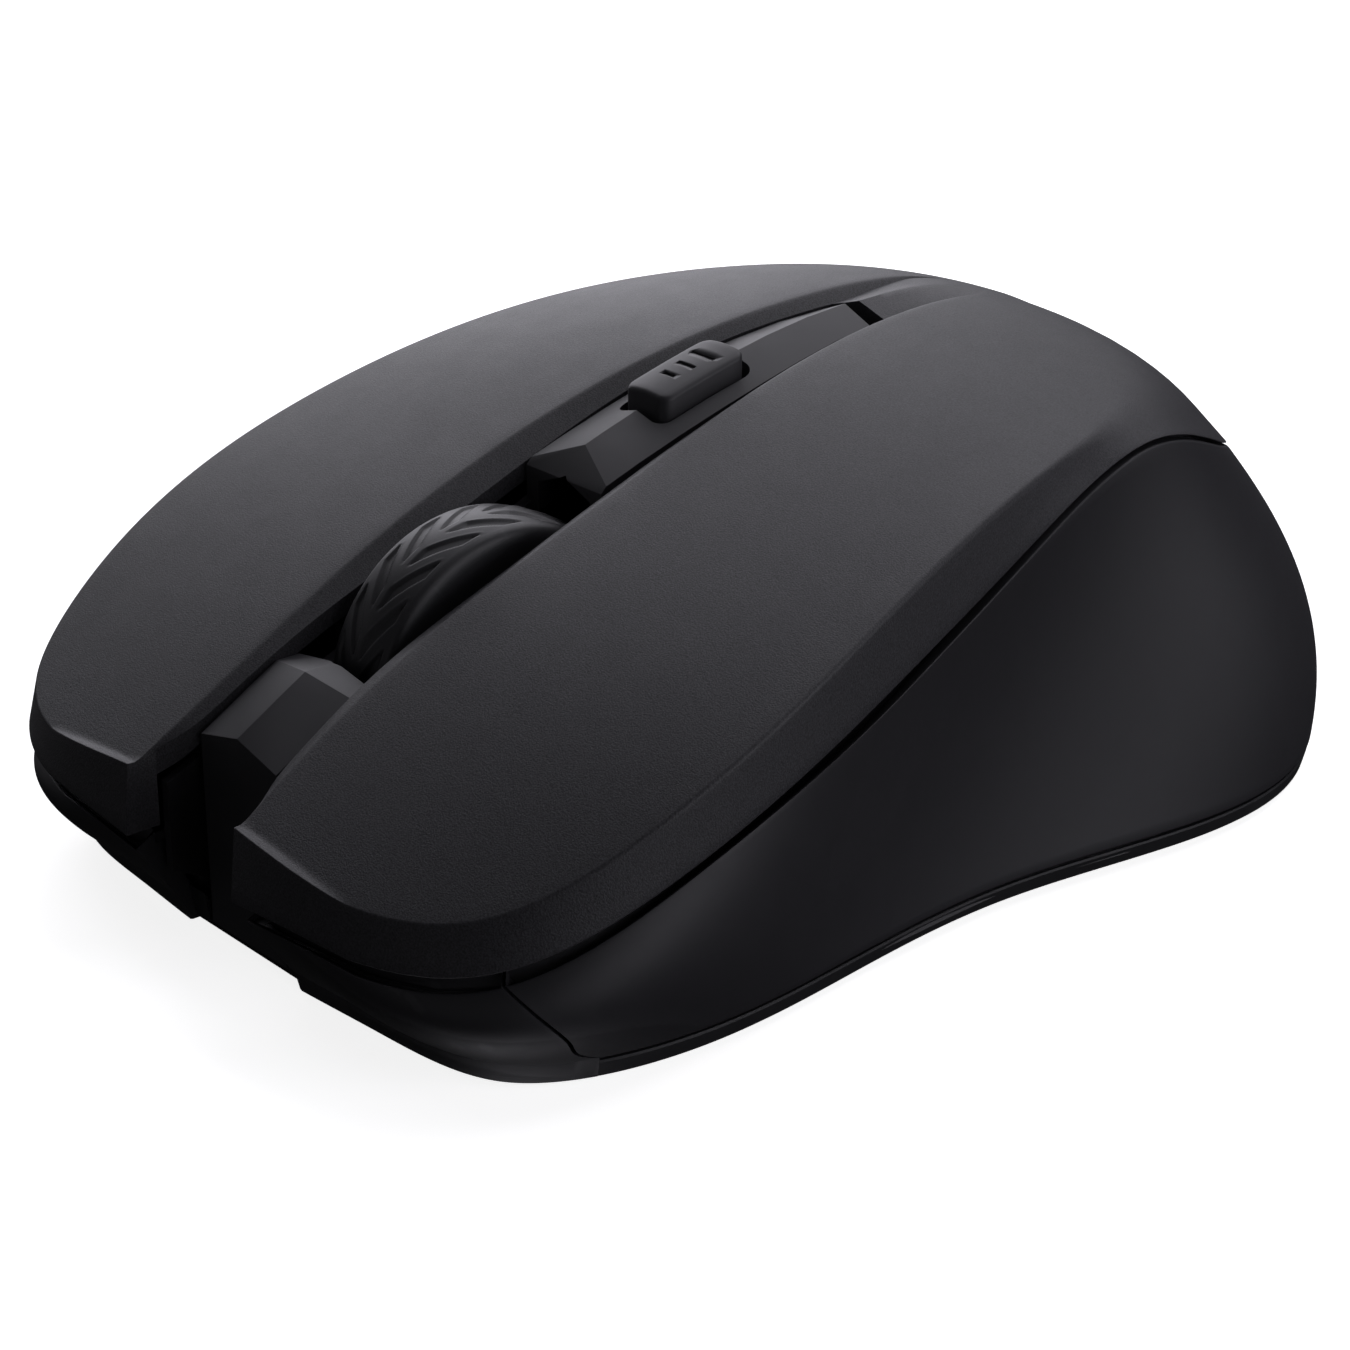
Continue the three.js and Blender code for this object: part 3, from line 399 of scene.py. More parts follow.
def merged_copy(node, flat_angle=0.5):
    """A CAD node's mesh in millimetres, with its loose triangles joined into whole faces."""
    bm = bmesh.new()
    bm.from_mesh(frame["nodes"][node].data)
    bmesh.ops.transform(bm, matrix=Matrix.Scale(1 / MM, 4), verts=bm.verts)
    bmesh.ops.remove_doubles(bm, verts=bm.verts, dist=1e-3)
    bmesh.ops.dissolve_limit(bm, angle_limit=math.radians(flat_angle), verts=bm.verts, edges=bm.edges)
    return bm


def box_of(node):
    low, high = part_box(node)
    return Vector(low) / MM, Vector(high) / MM


def between(start, end, steps):
    return [start + (end - start) * k / steps for k in range(steps + 1)]


# ---------- finishes ----------
def node_group(name, inputs, outputs):
    tree = bpy.data.node_groups.new(name, "ShaderNodeTree")
    for label, kind, value in inputs:
        socket = tree.interface.new_socket(label, in_out="INPUT", socket_type=kind)
        socket.default_value = value
    for label, kind in outputs:
        tree.interface.new_socket(label, in_out="OUTPUT", socket_type=kind)
    return tree, tree.nodes.new("NodeGroupInput"), tree.nodes.new("NodeGroupOutput")


def add_node(tree, kind, links=(), **values):
    """A node with its settings, its socket values by name, and links into it from other sockets."""
    node = tree.nodes.new(kind)
    for key, value in values.items():
        setattr(node, key, value)
    for socket, source in links:
        if isinstance(source, bpy.types.NodeSocket):
            tree.links.new(source, node.inputs[socket])
        else:
            node.inputs[socket].default_value = source
    return node


def math_node(tree, operation, a, b=0.0):
    return add_node(tree, "ShaderNodeMath", [(0, a), (1, b)], operation=operation).outputs[0]


def moulded_surface():
    """Spark-eroded or polished moulding: fine grain, slow patches, convex edges lightened as a painted highlight
    that also stands for rubbed edges, and faint handling marks.
    """
    tree, given, made = node_group(
        "moulded_surface",
        [
            ("Colour", "NodeSocketColor", (0.02, 0.02, 0.022, 1)),
            ("Roughness", "NodeSocketFloat", 0.5),
            ("Grain Size", "NodeSocketFloat", 0.15),
            ("Speckle", "NodeSocketFloat", 0.2),
            ("Patches", "NodeSocketFloat", 0.1),
            ("Edge Wear", "NodeSocketFloat", 0.2),
        ],
        [("Colour", "NodeSocketColor"), ("Roughness", "NodeSocketFloat"), ("Height", "NodeSocketFloat")],
    )
    where = add_node(tree, "ShaderNodeTexCoord").outputs["Object"]
    fine_scale = math_node(tree, "DIVIDE", 1 / MM, given.outputs["Grain Size"])
    fine = add_node(tree, "ShaderNodeTexNoise", [("Vector", where), ("Scale", fine_scale), ("Detail", 3.0)])
    slow = add_node(tree, "ShaderNodeTexNoise", [("Vector", where), ("Scale", 0.055 / MM), ("Detail", 4.0)])
    marks = add_node(
        tree, "ShaderNodeTexNoise", [("Vector", where), ("Scale", 0.35 / MM), ("Detail", 8.0), ("Roughness", 0.7)]
    )
    speckle = math_node(tree, "SUBTRACT", fine.outputs["Fac"], 0.5)
    speckle = math_node(tree, "MULTIPLY", speckle, given.outputs["Speckle"])
    patch = math_node(tree, "SUBTRACT", slow.outputs["Fac"], 0.5)
    patch = math_node(tree, "MULTIPLY", patch, given.outputs["Patches"])
    # Painted highlight: sharp convex edges are found from pointiness and broken up by the marks noise, then
    # lightened to stand in for the light they catch. The same mask also lowers the roughness there, like rubbed
    # edges.
    point = add_node(tree, "ShaderNodeNewGeometry").outputs["Pointiness"]
    sharp = add_node(
        tree, "ShaderNodeMapRange", [("Value", point), ("From Min", 0.515), ("From Max", 0.6)], clamp=True
    ).outputs[0]
    edge_sheen_and_wear = math_node(tree, "MULTIPLY", marks.outputs["Fac"], given.outputs["Edge Wear"])
    sheen_and_wear_mask = math_node(tree, "MULTIPLY", sharp, edge_sheen_and_wear)
    gain = math_node(tree, "ADD", 1.0, math_node(tree, "ADD", speckle, patch))
    shade = add_node(tree, "ShaderNodeVectorMath", [(0, given.outputs["Colour"])], operation="SCALE")
    tree.links.new(gain, shade.inputs["Scale"])
    # The painted edge highlight: the colour is mixed toward a light grey along the edge mask.
    lighter = add_node(
        tree, "ShaderNodeMix", [(0, sheen_and_wear_mask), (6, shade.outputs[0]), (7, (0.16, 0.16, 0.165, 1))], data_type="RGBA"
    )
    tree.links.new(lighter.outputs[2], made.inputs["Colour"])
    handled = math_node(tree, "MULTIPLY", math_node(tree, "SUBTRACT", marks.outputs["Fac"], 0.5), 0.12)
    rough = math_node(tree, "ADD", math_node(tree, "ADD", given.outputs["Roughness"], handled), patch)
    rough = math_node(tree, "SUBTRACT", rough, math_node(tree, "MULTIPLY", sheen_and_wear_mask, 0.5))
    held = add_node(tree, "ShaderNodeClamp", [(0, rough), (1, 0.05), (2, 1.0)])
    tree.links.new(held.outputs[0], made.inputs["Roughness"])
    height = math_node(tree, "ADD", fine.outputs["Fac"], math_node(tree, "MULTIPLY", marks.outputs["Fac"], 0.15))
    tree.links.new(height, made.inputs["Height"])
    return tree


MOULDED = moulded_surface()


def finish(name, colour, roughness, grain=0.15, speckle=0.2, patches=0.1, edge_sheen_and_wear=0.2, bump=0.02, **constants):
    """A material with the moulded surface group. bump is the height of the grain in millimetres."""
    material = bpy.data.materials.new(name)
    material.use_nodes = True
    tree = material.node_tree
    shader = tree.nodes["Principled BSDF"]
    group = tree.nodes.new("ShaderNodeGroup")
    group.node_tree = MOULDED
    given = dict(Colour=(*colour, 1), Roughness=roughness, Speckle=speckle, Patches=patches)
    given["Grain Size"] = grain
    given["Edge Wear"] = edge_sheen_and_wear
    for key, value in given.items():
        group.inputs[key].default_value = value
    bumped = add_node(tree, "ShaderNodeBump", [("Height", group.outputs["Height"]), ("Strength", 1.0)])
    bumped.inputs["Distance"].default_value = bump * MM
    tree.links.new(group.outputs["Colour"], shader.inputs["Base Color"])
    tree.links.new(group.outputs["Roughness"], shader.inputs["Roughness"])
    tree.links.new(bumped.outputs["Normal"], shader.inputs["Normal"])
    for key, value in constants.items():
        shader.inputs[key.replace("_", " ")].default_value = value
    material.diffuse_color = (*colour, 1)
    return material


CHARCOAL = (0.026, 0.0255, 0.029)
BLACK = (0.012, 0.012, 0.0135)
# The seventh argument of each finish sets how much its convex edges are lightened: a painted edge highlight that
# also stands for rubbed edges.
FINISHES = {
    "grained_shell": finish("grained_shell", CHARCOAL, 0.56, 0.13, 3.2, 0.06, 0.0, 0.03),
    "smooth_shell": finish("smooth_shell", (0.021, 0.0205, 0.0235), 0.54, 0.1, 0.12, 0.08, 0.12, 0.004),
    "dark_plastic": finish("dark_plastic", BLACK, 0.5, 0.12, 0.2, 0.1, 0.12, 0.006),
    "tread_rubber": finish("tread_rubber", (0.02, 0.02, 0.022), 0.46, 0.2, 0.15, 0.15, 0.1, 0.006),
    "board": finish("board", (0.012, 0.07, 0.03), 0.35, 0.6, 0.3, 0.3, 0.1, 0.01),
    "steel": finish("steel", (0.5, 0.51, 0.52), 0.3, 0.3, 0.15, 0.2, 0.3, 0.004, Metallic=1.0),
    "gold": finish("gold", (0.62, 0.44, 0.18), 0.3, 0.3, 0.15, 0.2, 0.3, 0.004, Metallic=1.0),
    "black_plastic": finish("black_plastic", (0.01, 0.01, 0.011), 0.45, 0.2, 0.2, 0.2, 0.15, 0.006),
    "white_plastic": finish("white_plastic", (0.62, 0.62, 0.58), 0.4, 0.2, 0.06, 0.08, 0.0, 0.006),
    "red_plastic": finish("red_plastic", (0.4, 0.02, 0.012), 0.35, 0.2, 0.1, 0.1, 0.05, 0.004),
    "clear_plastic": finish(
        "clear_plastic", (0.85, 0.9, 0.92), 0.06, 0.4, 0.02, 0.04, 0.0, 0.001, IOR=1.57, Transmission_Weight=0.85
    ),
    "cell_sleeve": finish("cell_sleeve", (0.05, 0.055, 0.06), 0.28, 0.5, 0.1, 0.1, 0.2, 0.004),
    "glide": finish("glide", (0.008, 0.008, 0.009), 0.3, 0.3, 0.2, 0.3, 0.1, 0.004),
    "label": finish("label", (0.42, 0.43, 0.44), 0.42, 0.4, 0.08, 0.08, 0.0, 0.003),
}


# ---------- cover: two button plates and the palm ----------
def cover_rows(start, end, steps, extra=()):
    return sorted([*between(start, end, steps), *extra])


def button_sheet():
    lip_rear = find(lambda t: channel_place(t) - LIP_REAR, LIP_PLACE, PLACES[2])
    rows = cover_rows(LIP_PLACE, FLEX_PLACE, 130, (lip_rear - 0.01, lip_rear + 0.01))
    return walled_sheet([cover_skin(t, True) for t in rows], [cover_lining(t, True) for t in rows])


def buttons():
    for side, body in (("left", "left_button"), ("right", "right_button")):
        bm = button_sheet()
        if side == "right":
            mirror_over_middle(bm, keep=False)
        plate = new_piece(side + "_button_plate", bm, [FINISHES["grained_shell"]], None, ())
        spine_line(FLEX_Y) * MM
        spine_line(FLEX_Y) * MM
        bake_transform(plate)
        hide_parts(body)


def palm():
    opened = between(FLEX_PLACE, OPENING_PLACE - 0.02, 4)
    whole = between(OPENING_PLACE, TAIL, 90)
    skins = [cover_skin(t, True) for t in opened] + [cover_skin(t, False) for t in whole]
    linings = [cover_lining(t, True) for t in opened] + [cover_lining(t, False) for t in whole]
    bm = walled_sheet(skins, linings, drop_middle=True)
    new_piece("palm_shell", bm, [FINISHES["grained_shell"]], "root", ["palm_cover"])


# ---------- side panels ----------
SIDE_STEPS = 30


def edge_gap(y):
    """Opening under the cover's edge: wide at the nose, where the buttons travel."""
    return np.interp(y, [-51, -20, 0, 18, 34], [1.5, 1.2, 0.85, 0.5, 0.2])


def side_point(t, share, inset=0.0, foot=FOOT_Z):
    """A point of the side between its foot (share 0) and the cover's edge (share 1)."""
    drawn = OUTLINE["base"](t) * (1 - share) - OUTLINE["belly"](t) * 4 * share * (1 - share) + inset
    drawn += NOSE_TUCK * share**2 * (1 - smooth_share(OUTLINE["y"](t), -34, -12))
    top = edge_height(t) - edge_gap(OUTLINE["y"](t))
    return Vector((*plan_point(t, drawn), foot + (top - foot) * share))


def sole_point(t, inset=0.0):
    """A point of the underside edge of the case."""
    point = side_point(t, 0, RIM_TUCK + inset)
    point.z = SOLE_Z
    return point


def where_x(x, share, low, high):
    """The place where the side reaches a distance from the middle."""
    outward = 1 if OUTLINE["x"](high) > OUTLINE["x"](low) else -1
    return find(lambda t: outward * (side_point(t, share).x - x), low, high)


def seam_line():
    """The place of the nose seam for each height of the side."""
    def behind_seam(t, share):
        point = side_point(t, share)
        return point.y - seam_place(point.z)

    return [
        find(lambda t: behind_seam(t, k / SIDE_STEPS), PLACES[1], PLACES[4])
        for k in range(SIDE_STEPS + 1)
    ]


def tail_line(half):
    return [where_x(half, k / SIDE_STEPS, PLACES[7], TAIL) for k in range(SIDE_STEPS + 1)]


def rows_between(starts, ends, steps):
    """Rows of places on the outline, one place for each height of the side."""
    return [[a + (b - a) * k / steps for a, b in zip(starts, ends)] for k in range(steps + 1)]


def rounded_line(points, inner_foot, inner_top, foot_turn=0.3, top_turn=0.4):
    """A line from an inner foot over the points to an inner top, with its two corners rounded."""
    foot, top = points[0], points[-1]
    low = toward(foot, inner_foot, foot_turn)
    up = toward(foot, points[1], foot_turn)
    before = toward(top, points[-2], top_turn)
    after = toward(top, inner_top, top_turn)
    line = [inner_foot, low, on_arc(low, foot, up, 0.5), up]
    line += points[1:-1]
    line += [before, on_arc(before, top, after, 0.33), on_arc(before, top, after, 0.67)]
    return line + [after, inner_top]


def inner_line(points):
    """The same number of points as a rounded line, along the inner side."""
    line = [points[0].lerp(points[1], k / 4) for k in range(4)]
    line += points[1:-1]
    return line + [points[-2].lerp(points[-1], k / 5) for k in range(1, 6)]


def side_skin(row, foot=FOOT_Z, with_sole=False):
    points = [side_point(t, k / SIDE_STEPS, 0, foot) for k, t in enumerate(row)]
    inner_foot = side_point(row[0], 0, PLATE_EDGE, foot)
    if with_sole:
        points = [sole_point(row[0])] + points
        inner_foot = sole_point(row[0], PLATE_EDGE)
    y = OUTLINE["y"](row[-1])
    inner_top = side_point(row[-1], 1, PLATE_EDGE, foot)
    inner_top.z -= GROOVE * (1 - smooth_share(y, -20, 8))
    return rounded_line(points, inner_foot, inner_top, top_turn=np.interp(y, [-20, 14], [0.2, 0.28]))


def side_lining(row, foot=FOOT_Z, with_sole=False):
    points = [side_point(t, k / SIDE_STEPS, WALL, foot) for k, t in enumerate(row)]
    y = OUTLINE["y"](row[-1])
    points[-1].z += np.interp(y, [-30, 0], [0.6, 1]) * edge_gap(y) + LIP_RISE
    if with_sole:
        points = [sole_point(row[0], WALL)] + points
    return inner_line(points)


def side_panels():
    rows = rows_between(seam_line(), tail_line(TAIL_HALF), 150)
    for side in ("left", "right"):
        bm = walled_sheet([side_skin(r) for r in rows], [side_lining(r) for r in rows])
        if side == "right":
            mirror_over_middle(bm, keep=False)
        node = side + "_side_panel"
        new_piece(side + "_grip", bm, [FINISHES["smooth_shell"]], "root", [node])


# ---------- spine, nose and the small button ----------
def softened_copy(node, slot, width, limit=18, sharp=14, body="root"):
    """A CAD node with its faces joined and its edges rounded."""
    bm = merged_copy(node)
    edges = [e for e in bm.edges if len(e.link_faces) == 2 and e.calc_face_angle(0) > math.radians(limit)]
    bmesh.ops.bevel(
        bm, geom=edges, offset=width, segments=2, profile=0.5, affect="EDGES", clamp_overlap=True, material=-1
    )
    return new_piece(node + "_finished", bm, [FINISHES[slot]], body, [node], sharp=sharp)


def tuck_under(bm, depth=0.6, reach=1.6):
    """Draws a copy's outer walls in, so that the smooth pieces hide them."""
    samples = [(t, k / 10) for t in between(0, TAIL, 300) for k in range(-1, 11)]
    tree = KDTree(len(samples))
    for k, (t, share) in enumerate(samples):
        tree.insert(side_point(t, share) if share >= 0 else sole_point(t), k)
    tree.balance()
    for vert in bm.verts:
        side = -1 if vert.co.x < 0 else 1
        near, k, distance = tree.find(Vector((vert.co.x * side, vert.co.y, vert.co.z)))
        at_nose = vert.co.y < NOSE_END
        if distance > (reach if at_nose else depth + 0.2):
            continue
        t, share = samples[k]
        inward = side_point(t, max(share, 0), depth) - side_point(t, max(share, 0))
        outside = (near - Vector((vert.co.x * side, vert.co.y, near.z))).dot(inward) / depth
        if outside > -0.5:
            shift = inward * (1 + outside / depth) if at_nose else inward
            vert.co.x += shift.x * side
            vert.co.y += shift.y
        if share < 0:
            vert.co.z += 0.1
        if at_nose:
            vert.co.z = min(vert.co.z, side_point(t, 1).z - 0.3)


def case_wall(name, rows, both=True, foot=FOOT_Z, with_sole=False):
    """A smooth wall of the case: a pair, or one piece across the middle."""
    for side in ("left", "right") if both else ("",):
        skins = [side_skin(r, foot, with_sole) for r in rows]
        bm = walled_sheet(skins, [side_lining(r, foot, with_sole) for r in rows], drop_middle=not both)
        if side == "right":
            mirror_over_middle(bm, keep=False)
        label = f"{side}_{name}" if side else name
        new_piece(label, bm, [FINISHES["smooth_shell"]], "root", ["bottom_case"])


RIM_DEPTH = 1.6  # how far the rim reaches inward under the side
RIM_STATIONS = 90


def rim_strip(start, end, across):
    """The low edge of the case or of its door, over a stretch of the outline."""
    places = between(start, end, RIM_STATIONS)
    skins = []
    linings = []
    for t in places:
        sole = sole_point(t)
        top = side_point(t, 0, 0.1, RIM_TOP)
        under = sole_point(t, RIM_DEPTH)
        inner = side_point(t, 0, RIM_DEPTH + RIM_TUCK, RIM_TOP)
        foot_turn = [toward(sole, under, 0.2), toward(sole, top, 0.2)]
        top_turn = [toward(top, sole, 0.15), toward(top, inner, 0.15)]
        skins.append([under] + foot_turn + top_turn + [inner])
        linings.append([under.lerp(inner, k / 5) + (inner - top).normalized() * 0.02 for k in range(6)])
    return walled_sheet(skins, linings, drop_middle=across)


def case():
    bm = merged_copy("bottom_case", flat_angle=0.2)
    tuck_under(bm)
    new_piece("bottom_shell", bm, [FINISHES["dark_plastic"]], "root", ["bottom_case"], sharp=25)
    seam = seam_line()
    cheek = [where_x(CHEEK_X, k / SIDE_STEPS, 0, PLACES[2]) for k in range(SIDE_STEPS + 1)]
    case_wall("nose_cheek", rows_between(cheek, [t - SEAM_GAP for t in seam], 80), with_sole=True)
    tail = rows_between(tail_line(TAIL_HALF - SEAM_GAP), [TAIL] * (SIDE_STEPS + 1), 30)
    case_wall("tail_wall", tail, both=False, foot=2.5)
    door_side = where_x(DOOR_HALF + DOOR_GAP, 0, PLACES[5], TAIL)
    for side in ("left", "right"):
        bm = rim_strip(seam[0] - SEAM_GAP - 0.5, door_side, across=False)
        if side == "right":
            mirror_over_middle(bm, keep=False)
        new_piece(side + "_rim", bm, [FINISHES["dark_plastic"]], "root", ["bottom_case"])


def door():
    bm = merged_copy("battery_door", flat_angle=0.2)
    tuck_under(bm)
    new_piece("door_plate", bm, [FINISHES["dark_plastic"]], "battery_door", ["battery_door"], sharp=25)
    bm = rim_strip(where_x(DOOR_HALF, 0, PLACES[5], TAIL), TAIL, across=True)
    new_piece("door_edge", bm, [FINISHES["dark_plastic"]], "battery_door", ["battery_door"])


MARK_BARS = [(-1.7, 0.7), (0.0, 1.05), (1.7, 1.4)]  # place along the button, half length across it


def carve(piece, tool):
    """Cuts one object out of another and removes the tool."""
    cutter = piece.modifiers.new("carve", "BOOLEAN")
    cutter.operation = "DIFFERENCE"
    cutter.solver = "EXACT"
    cutter.object = tool
    bpy.context.view_layer.update()
    shaped = piece.evaluated_get(bpy.context.evaluated_depsgraph_get())
    mesh = bpy.data.meshes.new_from_object(shaped)
    piece.modifiers.clear()
    piece.data = mesh
    bpy.data.objects.remove(tool)


def small_button():
    low, high = box_of("dpi_button")
    centre = (low + high) / 2
    bm = bmesh.new()
    bmesh.ops.create_cube(bm, size=1)
    size = Vector((high.x - low.x, high.y - low.y, 6))
    bmesh.ops.scale(bm, vec=size, verts=bm.verts)
    upright = [e for e in bm.edges if abs(e.verts[0].co.z - e.verts[1].co.z) > 1]
    bmesh.ops.bevel(bm, geom=upright, offset=0.95, segments=5, profile=0.5, affect="EDGES", material=-1)
    top = [e for e in bm.edges if all(v.co.z > 2.9 for v in e.verts)]
    bmesh.ops.bevel(bm, geom=top, offset=0.32, segments=4, profile=0.5, affect="EDGES", material=-1)
    for place in np.linspace(low.y, high.y, 12)[1:-1]:
        cut = [*bm.verts, *bm.edges, *bm.faces]
        bmesh.ops.bisect_plane(bm, geom=cut, plane_co=(0, place - centre.y, 0), plane_no=(0, 1, 0))
    for place in np.linspace(low.x, high.x, 8)[1:-1]:
        cut = [*bm.verts, *bm.edges, *bm.faces]
        bmesh.ops.bisect_plane(bm, geom=cut, plane_co=(place, 0, 0), plane_no=(1, 0, 0))
    crown_drop = 0.05
    rise = high.z - top_height(0, high.y)
    for vert in bm.verts:
        y = vert.co.y + centre.y
        vert.co.y = y
        vert.co.z += top_height(0, y) + rise - 3 - crown_drop * vert.co.x**2
    piece = new_piece("dpi_cap", bm, [FINISHES["smooth_shell"]], None, (), sharp=40)
    tools = bmesh.new()
    for place, half in MARK_BARS:
        made = bmesh.ops.create_cube(tools, size=1)["verts"]
        bmesh.ops.scale(tools, vec=(half * 2, 0.42, 1), verts=made)
        y = centre.y + place
        height = top_height(0, y) + rise + 0.5 - 0.22
        slope = math.atan2(top_height(0, y + 1) - top_height(0, y - 1), 2)
        bmesh.ops.rotate(tools, verts=made, cent=(0, 0, 0), matrix=Matrix.Rotation(slope, 3, "X"))
        bmesh.ops.translate(tools, vec=(0, y, height), verts=made)
    tool = new_piece("mark_tool", tools, [], None)
    carve(piece, tool)
    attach(piece, "dpi_button")
    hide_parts("dpi_button")


# ---------- wheel ----------
TREAD = dict(count=20, inner=0.3, outer=2.5, lean=1.85, share=0.5, depth=0.2)


def tread_depth(angle, x, radius):
    """How far the tread lies below the crown: two rows of slanted hollows that meet in arrows."""
    pitch = 2 * math.pi * radius / TREAD["count"]
    along = angle * radius - TREAD["lean"] * (abs(x) - TREAD["inner"])
    phase = (along / pitch) % 1
    share = TREAD["share"]
    soft = 0.05
    ends = smooth_share(phase, 0, soft) * (1 - smooth_share(phase, share - soft, share))
    sides = smooth_share(abs(x), TREAD["inner"], TREAD["inner"] + 0.2)
    sides *= 1 - smooth_share(abs(x), TREAD["outer"] - 0.2, TREAD["outer"])
    ridge = smooth_share(phase, share, share + soft) * (1 - smooth_share(phase, share + soft, share + 2 * soft))
    return TREAD["depth"] * ends * sides - 0.04 * ridge * sides


def tyre():
    low, high = box_of("wheel_tyre")
    centre = (low + high) / 2
    radius = (high.z - low.z) / 2
    half = (high.x - low.x) / 2
    bore = radius - 2.1
    flat = 2.75
    tread = [(x, radius - 0.045 * x * x, True) for x in np.linspace(-flat, flat, 45)]
    shoulder_start = tread[-1][1]
    turn = [
        (flat + (half - flat) * math.sin(a), shoulder_start - 1.3 * (1 - math.cos(a)), False)
        for a in np.linspace(0.2, math.pi / 2, 7)
    ]
    hub_side = min(half - 0.2, box_of("wheel_hub")[1].x + 0.05)
    wall = [(half, radius - 2.4, False), (half - 0.08, radius - 3.6, False), (half - 0.14, radius - 4.6, False)]
    wall += [(hub_side, radius - 4.6, False), (hub_side, bore, False)]
    right = turn + wall
    left = [(-x, r, f) for x, r, f in reversed(right)]
    section = left + tread + right
    section += [(hub_side * (1 - k / 2), bore, False) for k in range(1, 4)]
    around = TREAD["count"] * 36
    bm = bmesh.new()
    bmesh.ops.create_grid(bm, x_segments=around, y_segments=len(section), size=1)
    for vert in bm.verts:
        angle = (vert.co.x + 1) * math.pi
        x, r, patterned = section[round((vert.co.y + 1) / 2 * len(section)) % len(section)]
        if patterned:
            r -= tread_depth(angle, x, radius)
        vert.co = centre + Vector((x, -r * math.cos(angle), r * math.sin(angle)))
    bmesh.ops.remove_doubles(bm, verts=bm.verts, dist=1e-4)
    bmesh.ops.recalc_face_normals(bm, faces=bm.faces)
    new_piece("tyre", bm, [FINISHES["tread_rubber"]], "wheel", ["wheel_tyre"], sharp=60)


# ---------- the CAD pieces that stay ----------
def dress_frame():
    for part in frame["record"]["subparts"]:
        node = frame["nodes"][part["node"]]
        node.data.materials.clear()
        node.data.materials.append(FINISHES[part["material_slot"]])


# ---------- studio ----------
# Angles in degrees, aim, slide and distance in MM. They come from the same least-squares fit as the shape.
VIEW = dict(
    azimuth=49.35, elevation=23.01, distance=253.68, lens=83.2, aim=(0, 0.85, 13.86), slide=(-4.01, -3.61)
)


def make_camera():
    azimuth, elevation = math.radians(VIEW["azimuth"]), math.radians(VIEW["elevation"])
    back = Vector(
        (math.sin(azimuth) * math.cos(elevation), -math.cos(azimuth) * math.cos(elevation), math.sin(elevation))
    )
    right = Vector((math.cos(azimuth), math.sin(azimuth), 0))
    up = back.cross(right)
    target = Vector(VIEW["aim"]) + right * VIEW["slide"][0] + up * VIEW["slide"][1]
    data = bpy.data.cameras.new("camera")
    data.lens = VIEW["lens"]
    data.sensor_width = 36
    data.clip_start = 0.01
    camera = bpy.data.objects.new("camera", data)
    camera.matrix_world = Matrix.Translation((target + back * VIEW["distance"]) * MM) @ Matrix(
        (right, up, back)
    ).transposed().to_4x4()
    bpy.context.scene.collection.objects.link(camera)
    bpy.context.scene.camera = camera


def softbox(name, azimuth, elevation, distance, size, power):
    """A rectangular light that looks at the middle of the mouse. Azimuth 0 is in front, 90 on the left."""
    a, e = math.radians(azimuth), math.radians(elevation)
    back = Vector((math.sin(a) * math.cos(e), -math.cos(a) * math.cos(e), math.sin(e)))
    data = bpy.data.lights.new(name, "AREA")
    data.shape = "RECTANGLE"
    data.size, data.size_y = size
    data.energy = power
    data.color = LIGHT_TINT
    lamp = bpy.data.objects.new(name, data)
    lamp.location = back * distance + Vector((0, 0, 0.02))
    lamp.rotation_mode = "QUATERNION"
    lamp.rotation_quaternion = back.to_track_quat("Z", "Y")
    bpy.context.scene.collection.objects.link(lamp)


LIGHT_TINT = (0.97, 0.955, 1.03)
# name, azimuth, elevation, distance, size, watts. The watts started as a least-squares fit of tones and were
# rounded and changed.
LIGHTS = [
    ("behind_high", 180, 55, 0.8, (0.6, 0.6), 2.3),
    ("right_rear_low", 245, 18, 0.8, (0.6, 0.6), 2.3),
    ("right_rear_mid", 225, 30, 0.8, (0.6, 0.6), 1.0),
    ("right_high", 270, 55, 0.8, (0.6, 0.6), 0.5),
    ("left_low", 90, 8, 0.8, (0.6, 0.6), 1.1),
    ("left_rear", 118, 12, 0.6, (0.22, 0.3), 0.7),
    ("right_front_low", 292, 6, 0.8, (0.6, 0.6), 0.2),
    ("front_low", 0, 8, 0.8, (0.6, 0.6), 0.2),
    ("overhead", 0, 90, 0.8, (0.6, 0.6), 0.15),
    ("below", 20, -75, 0.8, (0.6, 0.6), 1.5),
]


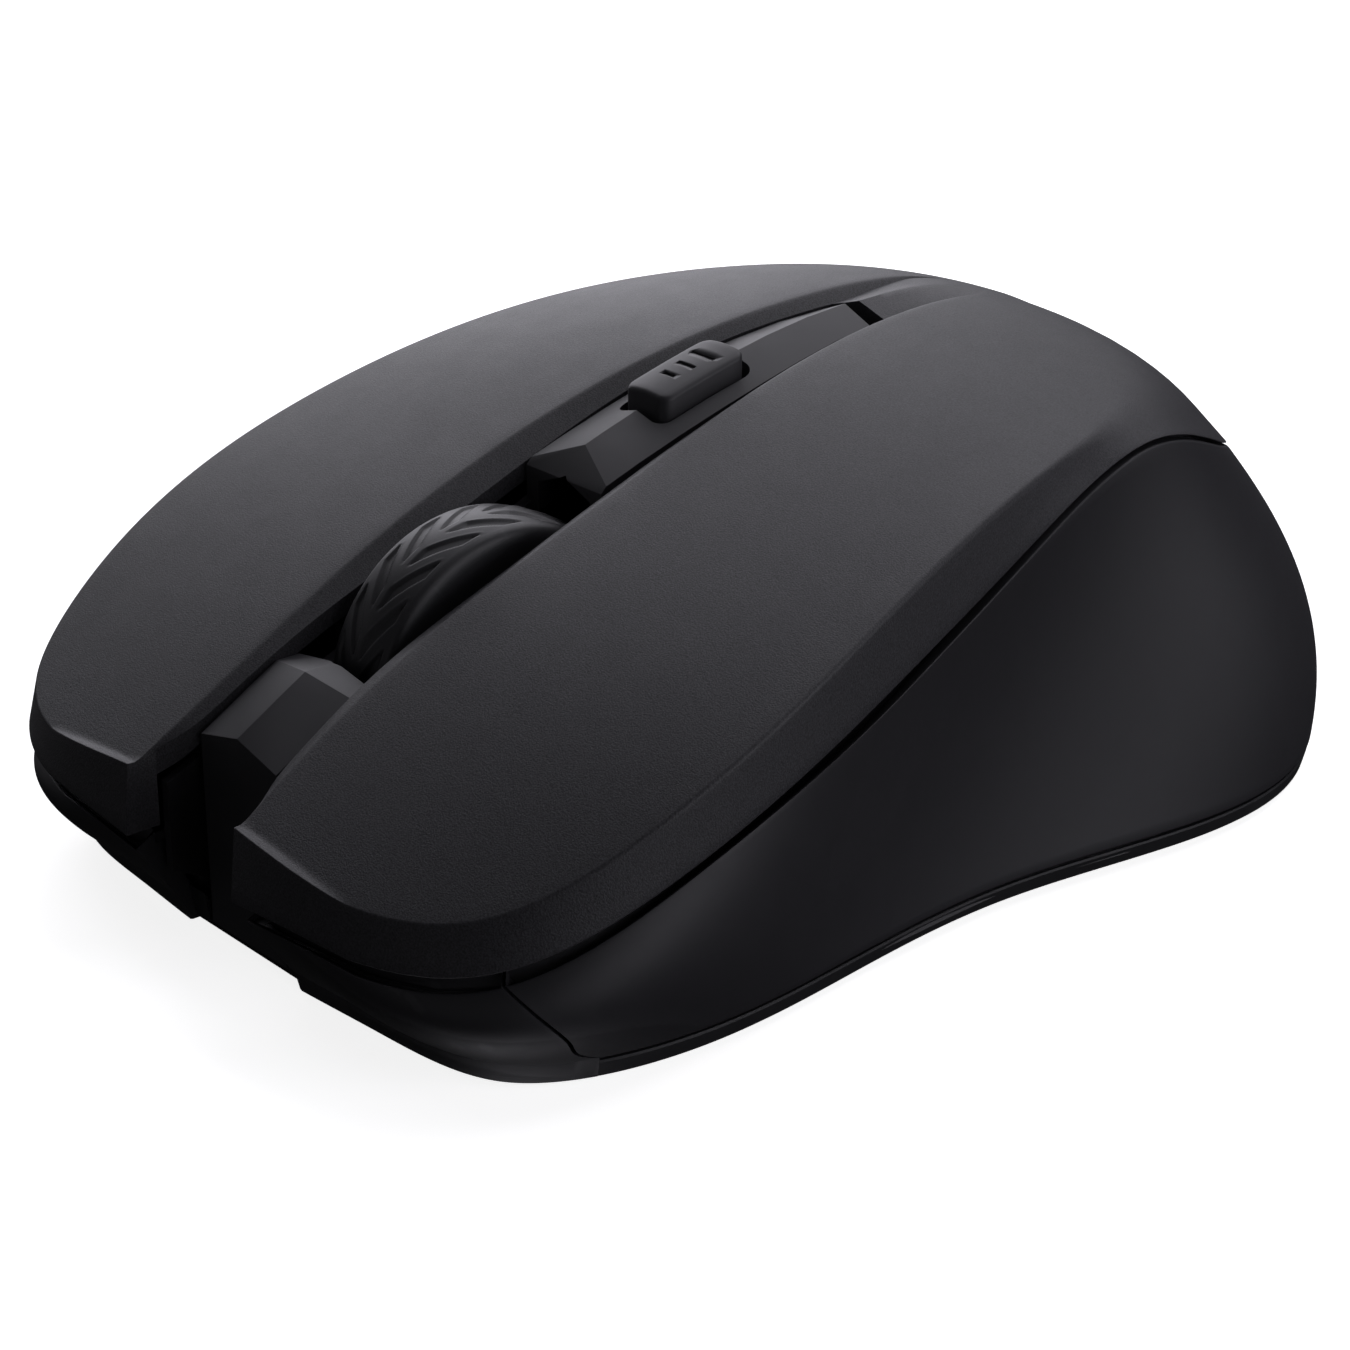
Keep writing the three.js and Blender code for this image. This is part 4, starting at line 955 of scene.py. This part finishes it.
def studio():
    for name, azimuth, elevation, distance, size, power in LIGHTS:
        softbox(name, azimuth, elevation, distance, size, power)
    world = bpy.data.worlds.new("studio")
    bpy.context.scene.world = world
    world.use_nodes = True
    tree = world.node_tree
    tree.nodes.clear()
    seen = add_node(tree, "ShaderNodeBackground", [("Color", (1, 1, 1, 1)), ("Strength", 1.0)])
    lit = add_node(tree, "ShaderNodeBackground", [("Color", (1, 1, 1, 1)), ("Strength", 0.007)])
    path = add_node(tree, "ShaderNodeLightPath")
    mix = add_node(tree, "ShaderNodeMixShader")
    tree.links.new(path.outputs["Is Camera Ray"], mix.inputs[0])
    tree.links.new(lit.outputs[0], mix.inputs[1])
    tree.links.new(seen.outputs[0], mix.inputs[2])
    out = add_node(tree, "ShaderNodeOutputWorld")
    tree.links.new(mix.outputs[0], out.inputs[0])
    bpy.context.scene.view_settings.view_transform = "Standard"


def see_through_from_below(tree, shader):
    """Lets a look from under the floor reach the underside."""
    side = add_node(tree, "ShaderNodeNewGeometry").outputs["Backfacing"]
    clear = add_node(tree, "ShaderNodeBsdfTransparent")
    mix = add_node(tree, "ShaderNodeMixShader", [(0, side), (1, shader.outputs[0]), (2, clear.outputs[0])])
    tree.links.new(mix.outputs[0], tree.nodes["Material Output"].inputs[0])


def make_floor():
    bm = bmesh.new()
    bmesh.ops.create_grid(bm, x_segments=1, y_segments=1, size=3000)
    bmesh.ops.translate(bm, vec=(0, 0, -0.05), verts=bm.verts)
    material = bpy.data.materials.new("pale_floor")
    material.use_nodes = True
    shader = material.node_tree.nodes["Principled BSDF"]
    shader.inputs["Base Color"].default_value = (0.9, 0.9, 0.9, 1)
    shader.inputs["Roughness"].default_value = 0.9
    shader.inputs["Emission Color"].default_value = (1, 1, 1, 1)
    shader.inputs["Emission Strength"].default_value = 0.85
    see_through_from_below(material.node_tree, shader)
    floor = new_piece("floor", bm, [material], None)
    floor.visible_glossy = False
    floor.visible_diffuse = False


make_camera()
studio()
make_floor()
dress_frame()
buttons()
palm()
side_panels()
case()
door()
softened_copy("centre_spine", "smooth_shell", 0.12)
softened_copy("nose_frame", "dark_plastic", 0.08)
small_button()
tyre()
